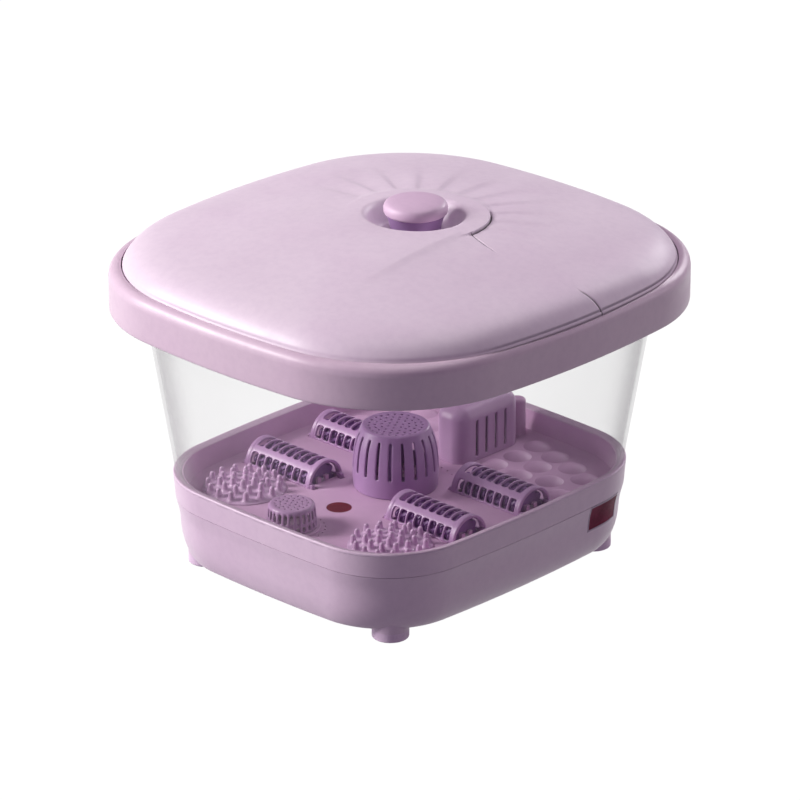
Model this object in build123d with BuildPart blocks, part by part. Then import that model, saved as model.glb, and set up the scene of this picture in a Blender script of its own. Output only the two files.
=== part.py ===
from build123d import *
import os
from math import asin, cos, exp, radians, sin, sqrt

os.makedirs("parts", exist_ok=True)

# ---------------------------------------------------------------------------
# Foot spa basin. Millimetres, +Z up, origin on the floor under the middle.
# -Y is the front, where the small herb cup is. +Y is the back.
# ---------------------------------------------------------------------------

# Outlines: half width, half depth, radius of the +-X sides, of the +-Y sides
# and of the corners. All are closed loops of eight tangent arcs.
RING_OUTLINE = (210.0, 222.0, 937.6, 910.5, 133.3)
LID_OUTLINE = (205.5, 213.5, 721.5, 706.0, 139.2)
WALL_HIGH = (184.6, 197.1, 1033.7, 1000.6, 109.5)  # outside of the clear wall at WALL_HIGH_Z
WALL_LOW = (152.3, 168.5, 1471.9, 1410.7, 77.3)  # the same at WALL_LOW_Z
RIM_OUTLINE = (154.1, 170.3, 1487.6, 1426.3, 78.2)
BOTTOM_OUTLINE = (139.5, 159.6, 1427.0, 1353.9, 71.4)
LAND_BORE = (176.5, 189.5, 1020.0, 990.0, 103.0)

# Heights
FOOT_H = 8.0
BASE_BOTTOM_Z = 12.0
SEAM_Z = 64.0
FLOOR_Z = 66.5
FLOOR_T = 3.0
RIM_Z = 84.0
WALL_LOW_Z = 84.0
WALL_HIGH_Z = 262.0
WALL_BOTTOM_Z = 76.0
WALL_TOP_Z = 259.8
RING_BOTTOM_Z = 235.0
RING_TOP_Z = 272.0
LAND_Z = 265.0
LAND_T = 4.0
LID_EDGE_Z = 266.0
LID_SHOULDER_Z = 272.0
LID_SHOULDER_H = 14.3
LID_CROWN_H = 19.5
LID_SHOULDER_LEN = 8.6

CASE_T = 3.0
WALL_T = 3.0
SKIRT_T = 3.5
RING_ROUND = 8.5
LID_T = 3.0
LID_GAP = 0.8

FEET = [(sx * 109.0, sy * 126.0) for sx in (-1, 1) for sy in (-1, 1)]
FOOT_R = 15.7
CASE_SCREWS = [(-134, -5), (134, -5), (-62, -150), (62, -150), (-62, 150), (62, 150)]

# Outside of the lower case: height, half width, half depth
CASE_PROFILE = [
    (12.0, 139.5, 159.6),
    (18.0, 143.6, 162.2),
    (26.0, 146.6, 164.2),
    (38.0, 148.6, 165.7),
    (50.0, 149.6, 166.5),
    (57.0, 151.0, 167.6),
    (63.8, 152.6, 168.9),
]

# Rollers: cage over each well, axis along X
CAGE_LEN = 78.0
CAGE_R = 20.0
CAGE_T = 2.2
CAGE_X = 84.0
CAGE_FRONT_Y = -45.0
CAGE_REAR_Y = 35.0
HOOP_W = 6.0
WINDOWS = 8
RIB_W = 1.8
ROLLER_R = 16.9
ROLLER_CORE_R = 10.5
ROLLER_LEN = 64.4
ROLLER_LOBES = 9
AXLE_R = 2.5
AXLE_Z = 67.0
AXLE_LEN = 71.6
AXLE_SLOT_R = 2.56
WELL_LEN = 72.0
WELL_W = 36.0
WELL_FLOOR_Z = 48.5
WELL_T = 2.2
PILLAR_T = 3.0

# Floor fittings
PAD_X, PAD_Y, PAD_R, PAD_H = 86.0, -102.5, 36.0, 4.5
NUB_R, NUB_H = 2.6, 9.0
LENS_Y, LENS_R = -75.0, 10.85
CUP_Y, CUP_R_TOP, CUP_R_LOW, CUP_TOP_Z = -131.5, 19.7, 21.3, 89.0
CUP_FLANGE_R = 24.5
CUP_SLOTS = 24
SPRAY_Y = -6.0
SPRAY_SLOTS = 20
BUBBLE_R = 0.9
BUBBLE_RING_R = 28.0
HOUSING_X, HOUSING_Y0, HOUSING_Y1, HOUSING_TOP_Z = 17.0, 58.0, 135.0, 116.0
COLUMN_Y, COLUMN_R, COLUMN_TOP_Z = 146.5, 7.5, 100.0
PEBBLES = [
    (34, 137), (61, 130), (88, 122), (111, 112), (36, 109),
    (64, 104), (92, 88), (117, 72), (33, 82), (64, 79),
]
PEBBLE_R, PEBBLE_H = 12.4, 3.7

# Display window on the +X side near the back corner
WINDOW_Y0, WINDOW_Y1 = 77.5, 115.5
WINDOW_Z0, WINDOW_Z1 = 41.0, 62.0

# Lid knob
KNOB_Y = 18.5
KNOB_R = 27.2
KNOB_TOP_Z = 319.2
KNOB_CAP_Z = 306.8
BOWL_FLOOR_Z = 289.0

# Cord bush in the back of the base
BUSH_Z, BUSH_BORE_R = 34.0, 3.6


def mix(s0, s1, t):
    """Outline a fraction t of the way from s0 to s1."""
    return tuple(p + (q - p) * t for p, q in zip(s0, s1))


def grown(shape, d):
    """Outline moved outwards by d all round."""
    return tuple(v + d for v in shape)


def arc_points(shape):
    """Joints of the side and corner arcs, and the corner's middle, in the first quadrant."""
    a, b, ra, rb, rc = shape
    dx, dy, d1, d2 = ra - a, rb - b, ra - rc, rb - rc
    dist = sqrt(dx * dx + dy * dy)
    along = (d1 * d1 - d2 * d2 + dist * dist) / (2 * dist)
    across = sqrt(d1 * d1 - along * along)
    cx = -dx + (along * dx + across * dy) / dist
    cy = (-along * dy + across * dx) / dist
    u1 = ((cx + dx) / d1, cy / d1)
    u2 = (cx / d2, (cy + dy) / d2)
    mx, my = u1[0] + u2[0], u1[1] + u2[1]
    ml = sqrt(mx * mx + my * my)
    side = (-dx + ra * u1[0], ra * u1[1])
    end = (rb * u2[0], -dy + rb * u2[1])
    return side, (cx + rc * mx / ml, cy + rc * my / ml), end


def outline(shape, z):
    """Flat face at height z inside an outline."""
    (sx, sy), (mx, my), (ex, ey) = arc_points(shape)
    a, b = shape[0], shape[1]
    with BuildSketch(Plane.XY.offset(z)) as sketch:
        with BuildLine():
            ThreePointArc((sx, -sy), (a, 0), (sx, sy))
            ThreePointArc((sx, sy), (mx, my), (ex, ey))
            ThreePointArc((ex, ey), (0, b), (-ex, ey))
            ThreePointArc((-ex, ey), (-mx, my), (-sx, sy))
            ThreePointArc((-sx, sy), (-a, 0), (-sx, -sy))
            ThreePointArc((-sx, -sy), (-mx, -my), (-ex, -ey))
            ThreePointArc((-ex, -ey), (0, -b), (ex, -ey))
            ThreePointArc((ex, -ey), (mx, -my), (sx, -sy))
        make_face()
    return sketch.sketch.faces()[0]


def wall_shape(z, grow=0.0):
    """Outside of the clear wall at height z."""
    return grown(mix(WALL_LOW, WALL_HIGH, (z - WALL_LOW_Z) / (WALL_HIGH_Z - WALL_LOW_Z)), grow)


def case_shape(a, b, grow=0.0):
    """Outline of the lower case with the given half sizes."""
    m = mix(BOTTOM_OUTLINE, RIM_OUTLINE, (a - BOTTOM_OUTLINE[0]) / (RIM_OUTLINE[0] - BOTTOM_OUTLINE[0]))
    return grown((a, b) + m[2:], grow)


def case_faces(grow=0.0, low=None):
    """Cross-sections of the lower case, from its bottom to its seam."""
    rows = list(CASE_PROFILE)
    if low is not None:
        rows[0] = low
    return [outline(case_shape(a, b, grow), z) for z, a, b in rows]


def lid_section(s):
    """Scale s of the lid's outline and the height of its top there."""
    d = (1 - s) * 0.5 * (LID_OUTLINE[0] + LID_OUTLINE[1])
    h = LID_SHOULDER_H * (1 - exp(-d / LID_SHOULDER_LEN)) + LID_CROWN_H * (1 - s * s)
    return tuple(v * s for v in LID_OUTLINE), LID_SHOULDER_Z + h


LID_STATIONS = (1.0, 0.99, 0.975, 0.955, 0.92, 0.86, 0.75, 0.6, 0.4, 0.2, 0.08)


def cap_middle(r, h):
    """Point half way along a cap's arc: its radius, and how far it lies below the top."""
    big = (r * r + h * h) / (2 * h)
    half = asin(min(1.0, r / big)) / 2
    return big * sin(half), big * (1 - cos(half))


def done(part, name):
    part.label = name
    export_step(part, f"parts/{name}.step")


# ---------------------------------------------------------------------------
# Base
# ---------------------------------------------------------------------------

with BuildPart() as rubber_feet:
    with BuildSketch(Plane.XY):
        with Locations(*FEET):
            Circle(FOOT_R)
    extrude(amount=FOOT_H)
    fillet(rubber_feet.edges().group_by(Axis.Z)[0], 1.5)
    with BuildSketch(Plane.XY):
        with Locations(*FEET):
            Circle(4.6)
    extrude(amount=4.0, mode=Mode.SUBTRACT)
    with BuildSketch(Plane.XY):
        with Locations(*FEET):
            Circle(2.2)
    extrude(amount=FOOT_H, mode=Mode.SUBTRACT)
done(rubber_feet.part, "rubber_feet")

with BuildPart() as foot_screws:
    with BuildSketch(Plane.XY.offset(1.8)):
        with Locations(*FEET):
            Circle(4.2)
    extrude(amount=2.2)
    with BuildSketch(Plane.XY.offset(4.0)):
        with Locations(*FEET):
            Circle(1.9)
    extrude(amount=10.5)
done(foot_screws.part, "foot_screws")

with BuildPart() as lower_case:
    loft(case_faces())
    with BuildSketch(Plane.XY.offset(FOOT_H)):
        with Locations(*FEET):
            Circle(FOOT_R)
    extrude(amount=9.0)
    loft(case_faces(-CASE_T, (15.0, 141.8, 161.1)) , mode=Mode.SUBTRACT)
    extrude(outline(case_shape(152.6, 168.9, -CASE_T), 63.7), amount=2.0, mode=Mode.SUBTRACT)
    # screw posts
    with BuildSketch(Plane.XY.offset(14.0)):
        with Locations(*CASE_SCREWS):
            Circle(5.0)
    extrude(amount=26.0)
    with BuildSketch(Plane.XY.offset(10.0)):
        with Locations(*CASE_SCREWS):
            Circle(3.6)
    extrude(amount=18.0, mode=Mode.SUBTRACT)
    with BuildSketch(Plane.XY.offset(10.0)):
        with Locations(*CASE_SCREWS):
            Circle(1.9)
    extrude(amount=40.0, mode=Mode.SUBTRACT)
    # screw holes for the feet
    with BuildSketch(Plane.XY.offset(FOOT_H - 1)):
        with Locations(*FEET):
            Circle(1.9)
    extrude(amount=7.6, mode=Mode.SUBTRACT)
    # display opening
    with BuildSketch(Plane.YZ.offset(120.0)):
        with Locations(((WINDOW_Y0 + WINDOW_Y1) / 2, (WINDOW_Z0 + WINDOW_Z1) / 2)):
            Rectangle(WINDOW_Y1 - WINDOW_Y0 + 3.2, WINDOW_Z1 - WINDOW_Z0 + 3.2)
    extrude(amount=50.0, mode=Mode.SUBTRACT)
    # cord bush hole
    with BuildSketch(Plane.XZ.offset(-150.0)):
        with Locations((0, BUSH_Z)):
            Circle(6.5)
    extrude(amount=-30.0, mode=Mode.SUBTRACT)
done(lower_case.part, "base_lower_case")

with BuildPart() as display_window:
    loft(case_faces(-0.1))
    loft(case_faces(-2.4, (12.0, 139.5, 159.6)), mode=Mode.SUBTRACT)
    with BuildSketch(Plane.YZ.offset(120.0)):
        with Locations(((WINDOW_Y0 + WINDOW_Y1) / 2, (WINDOW_Z0 + WINDOW_Z1) / 2)):
            Rectangle(WINDOW_Y1 - WINDOW_Y0, WINDOW_Z1 - WINDOW_Z0)
    extrude(amount=50.0, mode=Mode.INTERSECT)
done(display_window.part, "display_window")

with BuildPart() as display_bezel:
    loft(case_faces(0.15))
    loft(case_faces(-2.8, (12.0, 139.5, 159.6)), mode=Mode.SUBTRACT)
    with BuildSketch(Plane.YZ.offset(120.0)):
        with Locations(((WINDOW_Y0 + WINDOW_Y1) / 2, (WINDOW_Z0 + WINDOW_Z1) / 2)):
            Rectangle(WINDOW_Y1 - WINDOW_Y0 + 3.0, WINDOW_Z1 - WINDOW_Z0 + 3.0)
            Rectangle(WINDOW_Y1 - WINDOW_Y0 + 0.2, WINDOW_Z1 - WINDOW_Z0 + 0.2, mode=Mode.SUBTRACT)
    extrude(amount=50.0, mode=Mode.INTERSECT)
done(display_bezel.part, "display_bezel")

with BuildPart() as upper_case:
    loft([outline(case_shape(152.7, 169.0), SEAM_Z + 0.2), outline(RIM_OUTLINE, RIM_Z)], ruled=True)
    # tongue that laps inside the lower case
    extrude(outline(case_shape(147.4, 163.8), 57.0), amount=SEAM_Z + 0.2 - 57.0)
    extrude(outline(case_shape(145.2, 161.6), 57.0), amount=FLOOR_Z - FLOOR_T - 57.0, mode=Mode.SUBTRACT)
    # inside of the tub, down to the floor
    loft(
        [outline(case_shape(143.8, 160.3), FLOOR_Z), outline(case_shape(146.7, 163.1), RIM_Z + 0.01)],
        ruled=True,
        mode=Mode.SUBTRACT,
    )
    tub_floor = upper_case.faces().filter_by(Plane.XY).filter_by(lambda f: abs(f.center().Z - FLOOR_Z) < 0.01)[0]
    fillet(tub_floor.edges(), 4.0)
    # slot for the clear wall
    loft([outline(wall_shape(74.7, 0.2), 74.7), outline(wall_shape(85.0, 0.2), 85.0)], ruled=True, mode=Mode.SUBTRACT)
    loft([outline(wall_shape(74.7, -WALL_T - 0.2), 74.7), outline(wall_shape(RIM_Z, -WALL_T - 0.2), RIM_Z)], ruled=True)
    loft(
        [outline(case_shape(143.8, 160.3), FLOOR_Z), outline(case_shape(146.7, 163.1), RIM_Z + 0.01)],
        ruled=True,
        mode=Mode.SUBTRACT,
    )
    # roller wells
    with BuildSketch(Plane.XY.offset(WELL_FLOOR_Z - WELL_T)):
        with Locations(*[(sx * CAGE_X, y) for sx in (-1, 1) for y in (CAGE_FRONT_Y, CAGE_REAR_Y)]):
            RectangleRounded(WELL_LEN + 2 * WELL_T, WELL_W + 2 * WELL_T, 3.0)
    extrude(amount=FLOOR_Z - 1.0 - WELL_FLOOR_Z + WELL_T)
    with BuildSketch(Plane.XY.offset(WELL_FLOOR_Z)):
        with Locations(*[(sx * CAGE_X, y) for sx in (-1, 1) for y in (CAGE_FRONT_Y, CAGE_REAR_Y)]):
            Rectangle(WELL_LEN, WELL_W)
    extrude(amount=30.0, mode=Mode.SUBTRACT)
    # axle pillars, each with a slot open at the top
    with BuildSketch(Plane.YZ.offset(CAGE_X - WELL_LEN / 2)):
        for y in (CAGE_FRONT_Y, CAGE_REAR_Y):
            with Locations((y, (WELL_FLOOR_Z - 0.5 + 71.0) / 2)):
                Rectangle(13.0, 71.0 - WELL_FLOOR_Z + 0.5)
            with Locations((y, AXLE_Z)):
                Circle(AXLE_SLOT_R, mode=Mode.SUBTRACT)
            with Locations((y, AXLE_Z + 5.0)):
                Rectangle(2 * AXLE_SLOT_R, 10.0, mode=Mode.SUBTRACT)
    extrude(amount=PILLAR_T)
    for x0 in (CAGE_X + WELL_LEN / 2 - PILLAR_T, -CAGE_X - WELL_LEN / 2, -CAGE_X + WELL_LEN / 2 - PILLAR_T):
        with BuildSketch(Plane.YZ.offset(x0)):
            for y in (CAGE_FRONT_Y, CAGE_REAR_Y):
                with Locations((y, (WELL_FLOOR_Z - 0.5 + 71.0) / 2)):
                    Rectangle(13.0, 71.0 - WELL_FLOOR_Z + 0.5)
                with Locations((y, AXLE_Z)):
                    Circle(AXLE_SLOT_R, mode=Mode.SUBTRACT)
                with Locations((y, AXLE_Z + 5.0)):
                    Rectangle(2 * AXLE_SLOT_R, 10.0, mode=Mode.SUBTRACT)
        extrude(amount=PILLAR_T)
    # shallow notches for the cages' lugs
    with BuildSketch(Plane.XY.offset(FLOOR_Z - 2.0)):
        with Locations(
            *[
                (sx * CAGE_X + ex * (CAGE_LEN / 2 + 2.0), y + ey * 16.5)
                for sx in (-1, 1)
                for ex in (-1, 1)
                for y in (CAGE_FRONT_Y, CAGE_REAR_Y)
                for ey in (-1, 1)
            ]
        ):
            Rectangle(5.4, 6.0)
    extrude(amount=4.0, mode=Mode.SUBTRACT)
    # pebble domes
    dome_r = (PEBBLE_R**2 + PEBBLE_H**2) / (2 * PEBBLE_H)
    dome_angle = asin(PEBBLE_R / dome_r)
    for px, py in PEBBLES:
        for sx in (-1, 1):
            with BuildSketch(Plane(origin=(sx * px, py, FLOOR_Z - 0.5), x_dir=(1, 0, 0), z_dir=(0, -1, 0))):
                with BuildLine():
                    Line((0, 0), (PEBBLE_R, 0))
                    Line((PEBBLE_R, 0), (PEBBLE_R, 0.5))
                    ThreePointArc(
                        (PEBBLE_R, 0.5),
                        (dome_r * sin(0.5 * dome_angle), 0.5 + PEBBLE_H - dome_r + dome_r * cos(0.5 * dome_angle)),
                        (0, 0.5 + PEBBLE_H),
                    )
                    Line((0, 0.5 + PEBBLE_H), (0, 0))
                make_face()
            revolve(axis=Axis((sx * px, py, 0), (0, 0, 1)))
    # openings in the floor: lens, spray tube, heater legs, sensor, bubbles
    with BuildSketch(Plane.XY.offset(FLOOR_Z - 2.0)):
        with Locations((0, LENS_Y)):
            Circle(LENS_R + 0.05)
    extrude(amount=4.0, mode=Mode.SUBTRACT)
    with BuildSketch(Plane.XY.offset(FLOOR_Z - 8.0)):
        with Locations((0, LENS_Y)):
            Circle(8.4)
        with Locations((0, SPRAY_Y)):
            Circle(6.05)
        with Locations((0, 76), (0, 118)):
            Circle(3.6)
        with Locations((0, 97)):
            Circle(3.05)
        with Locations(
            *[
                (BUBBLE_RING_R * cos(radians(t)), CUP_Y + BUBBLE_RING_R * sin(radians(t)))
                for t in range(-36, 217, 14)
            ]
        ):
            Circle(BUBBLE_R)
        with Locations(
            *[(52.0 * cos(radians(t)), SPRAY_Y + 52.0 * sin(radians(t))) for t in (66, 75, 84, 93, 102, 111)]
        ):
            Circle(BUBBLE_R)
    extrude(amount=12.0, mode=Mode.SUBTRACT)
    # screw bosses under the floor
    with BuildSketch(Plane.XY.offset(40.2)):
        with Locations(*CASE_SCREWS):
            Circle(5.0)
    extrude(amount=FLOOR_Z - 1.5 - 40.2)
    with BuildSketch(Plane.XY.offset(40.0)):
        with Locations(*CASE_SCREWS):
            Circle(1.6)
    extrude(amount=18.0, mode=Mode.SUBTRACT)
done(upper_case.part, "base_upper_case")

with BuildPart() as case_screws:
    with BuildSketch(Plane.XY.offset(25.0)):
        with Locations(*CASE_SCREWS):
            Circle(3.4)
    extrude(amount=3.0)
    with BuildSketch(Plane.XY.offset(28.0)):
        with Locations(*CASE_SCREWS):
            Circle(1.6)
    extrude(amount=28.0)
done(case_screws.part, "case_screws")

# ---------------------------------------------------------------------------
# Clear wall and rim
# ---------------------------------------------------------------------------

with BuildPart() as clear_wall:
    loft([outline(wall_shape(WALL_BOTTOM_Z), WALL_BOTTOM_Z), outline(wall_shape(WALL_TOP_Z), WALL_TOP_Z)], ruled=True)
    loft(
        [
            outline(wall_shape(WALL_BOTTOM_Z, -WALL_T), WALL_BOTTOM_Z),
            outline(wall_shape(WALL_TOP_Z, -WALL_T), WALL_TOP_Z),
        ],
        ruled=True,
        mode=Mode.SUBTRACT,
    )
done(clear_wall.part, "clear_wall")

with BuildPart() as wall_seal_lower:
    extrude(outline(wall_shape(75.4, -0.3), 74.8), amount=1.2)
    extrude(outline(wall_shape(75.4, -WALL_T + 0.3), 74.8), amount=1.2, mode=Mode.SUBTRACT)
done(wall_seal_lower.part, "wall_seal_lower")

with BuildPart() as wall_seal_upper:
    extrude(outline(wall_shape(WALL_TOP_Z), WALL_TOP_Z), amount=LAND_Z - LAND_T - WALL_TOP_Z)
    extrude(
        outline(wall_shape(WALL_TOP_Z, -WALL_T), WALL_TOP_Z),
        amount=LAND_Z - LAND_T - WALL_TOP_Z,
        mode=Mode.SUBTRACT,
    )
done(wall_seal_upper.part, "wall_seal_upper")

with BuildPart() as rim_ring:
    extrude(outline(RING_OUTLINE, RING_BOTTOM_Z), amount=RING_TOP_Z - RING_BOTTOM_Z)
    fillet(rim_ring.edges().group_by(Axis.Z)[-1], RING_ROUND)
    fillet(rim_ring.edges().group_by(Axis.Z)[0], 1.2)
    extrude(outline(grown(LID_OUTLINE, LID_GAP), LAND_Z), amount=20.0, mode=Mode.SUBTRACT)
    extrude(
        outline(grown(RING_OUTLINE, -SKIRT_T), RING_BOTTOM_Z),
        amount=LAND_Z - LAND_T - RING_BOTTOM_Z,
        mode=Mode.SUBTRACT,
    )
    extrude(outline(LAND_BORE, LAND_Z - LAND_T - 1), amount=10.0, mode=Mode.SUBTRACT)
done(rim_ring.part, "rim_ring")

CLAMP_SCREWS = [(0, -200.6), (0, 200.6), (188.4, 0), (-188.4, 0)] + [
    (sx * x, sy * y) for sx in (-1, 1) for sy in (-1, 1) for x, y in ((183.8, 98.0), (90.0, 196.2))
]
with BuildPart() as rim_clamp_ring:
    extrude(outline(grown(WALL_HIGH, 8.0), 248.0), amount=LAND_Z - LAND_T - 248.0)
    loft(
        [outline(wall_shape(248.0, 0.2), 248.0), outline(wall_shape(LAND_Z - LAND_T, 0.2), LAND_Z - LAND_T)],
        ruled=True,
        mode=Mode.SUBTRACT,
    )
    with BuildSketch(Plane.XY.offset(247.0)):
        with Locations(*CLAMP_SCREWS):
            Circle(1.7)
    extrude(amount=13.9, mode=Mode.SUBTRACT)
done(rim_clamp_ring.part, "rim_clamp_ring")

with BuildPart() as clamp_screws:
    with BuildSketch(Plane.XY.offset(246.0)):
        with Locations(*CLAMP_SCREWS):
            Circle(2.8)
    extrude(amount=2.0)
    with BuildSketch(Plane.XY.offset(248.0)):
        with Locations(*CLAMP_SCREWS):
            Circle(1.5)
    extrude(amount=12.5)
done(clamp_screws.part, "clamp_screws")

# ---------------------------------------------------------------------------
# Lid
# ---------------------------------------------------------------------------

with BuildPart() as lid_cover:
    extrude(outline(LID_OUTLINE, LID_EDGE_Z), amount=LID_SHOULDER_Z - LID_EDGE_Z)
    loft([outline(*lid_section(s)) for s in LID_STATIONS])
    extrude(outline(grown(LID_OUTLINE, -LID_T), LID_EDGE_Z), amount=LID_SHOULDER_Z - LID_T - LID_EDGE_Z, mode=Mode.SUBTRACT)
    loft(
        [outline(grown(lid_section(s)[0], -LID_T), lid_section(s)[1] - LID_T) for s in LID_STATIONS],
        mode=Mode.SUBTRACT,
    )
    # bowl that holds the knob
    with BuildSketch(Plane(origin=(0, KNOB_Y, 0), x_dir=(1, 0, 0), z_dir=(0, -1, 0))):
        with BuildLine():
            Polyline((0, 303.3), (0, BOWL_FLOOR_Z - 3), (33.0, BOWL_FLOOR_Z - 3), (44.0, 298.0), (46.5, 303.3), (0, 303.3))
        make_face()
    revolve(axis=Axis((0, KNOB_Y, 0), (0, 0, 1)))
    with BuildSketch(Plane(origin=(0, KNOB_Y, 0), x_dir=(1, 0, 0), z_dir=(0, -1, 0))):
        with BuildLine():
            Polyline((0, 320), (0, BOWL_FLOOR_Z), (30.0, BOWL_FLOOR_Z))
            ThreePointArc((30.0, BOWL_FLOOR_Z), (38.0, 294.5), (43.5, 306.5))
            Polyline((43.5, 306.5), (43.5, 320), (0, 320))
        make_face()
    revolve(axis=Axis((0, KNOB_Y, 0), (0, 0, 1)), mode=Mode.SUBTRACT)
    with BuildSketch(Plane.XY.offset(280)):
        with Locations((0, KNOB_Y)):
            Circle(2.7)
    extrude(amount=15, mode=Mode.SUBTRACT)
done(lid_cover.part, "lid_cover")

with BuildPart() as lid_liner:
    extrude(outline(grown(LID_OUTLINE, -LID_T - 0.05), 267.1), amount=1.8)
    extrude(outline(grown(LAND_BORE, -1.3), 257.0), amount=10.1)
    extrude(outline(grown(LAND_BORE, -3.5), 257.0), amount=10.1, mode=Mode.SUBTRACT)
done(lid_liner.part, "lid_liner")

with BuildPart() as lid_seal:
    extrude(outline(grown(LID_OUTLINE, -6.0), 265.4), amount=1.7)
    extrude(outline(grown(LID_OUTLINE, -11.0), 265.4), amount=1.7, mode=Mode.SUBTRACT)
done(lid_seal.part, "lid_seal")

with BuildPart() as knob_stem:
    with BuildSketch(Plane(origin=(0, KNOB_Y, 0), x_dir=(1, 0, 0), z_dir=(0, -1, 0))):
        with BuildLine():
            Polyline((2.5, 300.0), (2.5, BOWL_FLOOR_Z), (21.0, BOWL_FLOOR_Z))
            ThreePointArc((21.0, BOWL_FLOOR_Z), (22.3, 297.2), (24.6, 305.4))
            Polyline((24.6, 305.4), (24.6, KNOB_CAP_Z), (0, KNOB_CAP_Z), (0, 300.0), (2.5, 300.0))
        make_face()
    revolve(axis=Axis((0, KNOB_Y, 0), (0, 0, 1)))
done(knob_stem.part, "knob_stem")

with BuildPart() as knob_cap:
    with BuildSketch(Plane(origin=(0, KNOB_Y, 0), x_dir=(1, 0, 0), z_dir=(0, -1, 0))):
        with BuildLine():
            Polyline((0, KNOB_CAP_Z), (25.9, KNOB_CAP_Z), (KNOB_R, 308.3), (KNOB_R, 312.0))
            ThreePointArc((KNOB_R, 312.0), (25.9, 315.6), (22.5, 317.6))
            mid_r, mid_d = cap_middle(22.5, KNOB_TOP_Z - 317.6)
            ThreePointArc((22.5, 317.6), (mid_r, KNOB_TOP_Z - mid_d), (0, KNOB_TOP_Z))
            Line((0, KNOB_TOP_Z), (0, KNOB_CAP_Z))
        make_face()
    revolve(axis=Axis((0, KNOB_Y, 0), (0, 0, 1)))
done(knob_cap.part, "knob_cap")

with BuildPart() as knob_washer:
    with BuildSketch(Plane.XY.offset(BOWL_FLOOR_Z - 4.5)):
        with Locations((0, KNOB_Y)):
            Circle(8.0)
            Circle(2.8, mode=Mode.SUBTRACT)
    extrude(amount=1.5)
done(knob_washer.part, "knob_washer")

with BuildPart() as knob_screw:
    with BuildSketch(Plane.XY.offset(BOWL_FLOOR_Z - 8.0)):
        with Locations((0, KNOB_Y)):
            Circle(5.0)
            RegularPolygon(2.0, 6, mode=Mode.SUBTRACT)
    extrude(amount=3.5)
    with BuildSketch(Plane.XY.offset(BOWL_FLOOR_Z - 5.5)):
        with Locations((0, KNOB_Y)):
            Circle(2.5)
    extrude(amount=14.0)
done(knob_screw.part, "knob_screw")

# ---------------------------------------------------------------------------
# Rollers and their cages
# ---------------------------------------------------------------------------

STATIONS = {
    "front_left": (-CAGE_X, CAGE_FRONT_Y),
    "front_right": (CAGE_X, CAGE_FRONT_Y),
    "rear_left": (-CAGE_X, CAGE_REAR_Y),
    "rear_right": (CAGE_X, CAGE_REAR_Y),
}
PITCH = (CAGE_LEN - 2 * HOOP_W + RIB_W) / WINDOWS

for where, (cx, cy) in STATIONS.items():
    with BuildPart() as cage:
        with BuildSketch(Plane.YZ.offset(cx - CAGE_LEN / 2)):
            with Locations((cy, FLOOR_Z)):
                Circle(CAGE_R)
                Circle(CAGE_R - CAGE_T, mode=Mode.SUBTRACT)
            with Locations((cy, FLOOR_Z - CAGE_R)):
                Rectangle(3 * CAGE_R, 2 * CAGE_R, mode=Mode.SUBTRACT)
        extrude(amount=CAGE_LEN)
        # windows: three rows round the arch, between the spines
        for k in range(WINDOWS):
            x0 = cx - CAGE_LEN / 2 + HOOP_W + k * PITCH
            with BuildSketch(Plane.YZ.offset(x0)):
                for lo, hi in ((5.0, 39.0), (58.0, 122.0), (141.0, 175.0)):
                    with BuildLine():
                        p = [
                            (cy - r * cos(radians(t)), FLOOR_Z + r * sin(radians(t)))
                            for r, t in (
                                (14.0, lo), (14.0, hi), (26.0, hi), (26.0, (lo + hi) / 2), (26.0, lo),
                            )
                        ]
                        Polyline(p[0], p[1], p[2])
                        ThreePointArc(p[2], p[3], p[4])
                        Line(p[4], p[0])
                    make_face()
            extrude(amount=PITCH - RIB_W, mode=Mode.SUBTRACT)
        # lugs that drop into the floor's notches
        with BuildSketch(Plane.XY.offset(FLOOR_Z - 1.8)):
            with Locations(*[(cx + ex * (CAGE_LEN / 2 + 1.2), cy + ey * 17.0) for ex in (-1, 1) for ey in (-1, 1)]):
                Rectangle(3.0, 3.6)
        extrude(amount=1.8 + 3.5)
        with BuildSketch(Plane.XY.offset(FLOOR_Z)):
            with Locations(*[(cx + ex * (CAGE_LEN / 2 - HOOP_W / 2), cy + ey * 17.6) for ex in (-1, 1) for ey in (-1, 1)]):
                Rectangle(HOOP_W, 3.4)
        extrude(amount=3.5)
    done(cage.part, f"roller_cage_{where}")

    with BuildPart() as roller:
        with BuildSketch(Plane.YZ.offset(cx - ROLLER_LEN / 2)):
            with Locations((cy, AXLE_Z)):
                Circle(ROLLER_CORE_R)
                Circle(AXLE_R, mode=Mode.SUBTRACT)
        extrude(amount=ROLLER_LEN)
        # lobed discs, one pair in front of each window
        for k in range(WINDOWS):
            x0 = cx - CAGE_LEN / 2 + HOOP_W + k * PITCH + (PITCH - RIB_W) / 2
            for half in (0, 1):
                turn = (k * 13.0 + half * 20.0) % 40.0
                with BuildSketch(Plane.YZ.offset(x0 - 2.9 + half * 3.0)):
                    with Locations((cy, AXLE_Z)):
                        Circle(ROLLER_R - 3.2)
                        Circle(ROLLER_CORE_R - 2.0, mode=Mode.SUBTRACT)
                    with Locations(
                        *[
                            (
                                cy + (ROLLER_R - 2.9) * cos(radians(turn + 360.0 * j / ROLLER_LOBES)),
                                AXLE_Z + (ROLLER_R - 2.9) * sin(radians(turn + 360.0 * j / ROLLER_LOBES)),
                            )
                            for j in range(ROLLER_LOBES)
                        ]
                    ):
                        Circle(2.9)
                extrude(amount=2.8)
    done(roller.part, f"massage_roller_{where}")

    with BuildPart() as axle:
        with BuildSketch(Plane.YZ.offset(cx - AXLE_LEN / 2)):
            with Locations((cy, AXLE_Z)):
                Circle(AXLE_R)
        extrude(amount=AXLE_LEN)
        chamfer(axle.edges().filter_by(GeomType.CIRCLE), 0.4)
    done(axle.part, f"roller_axle_{where}")

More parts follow.
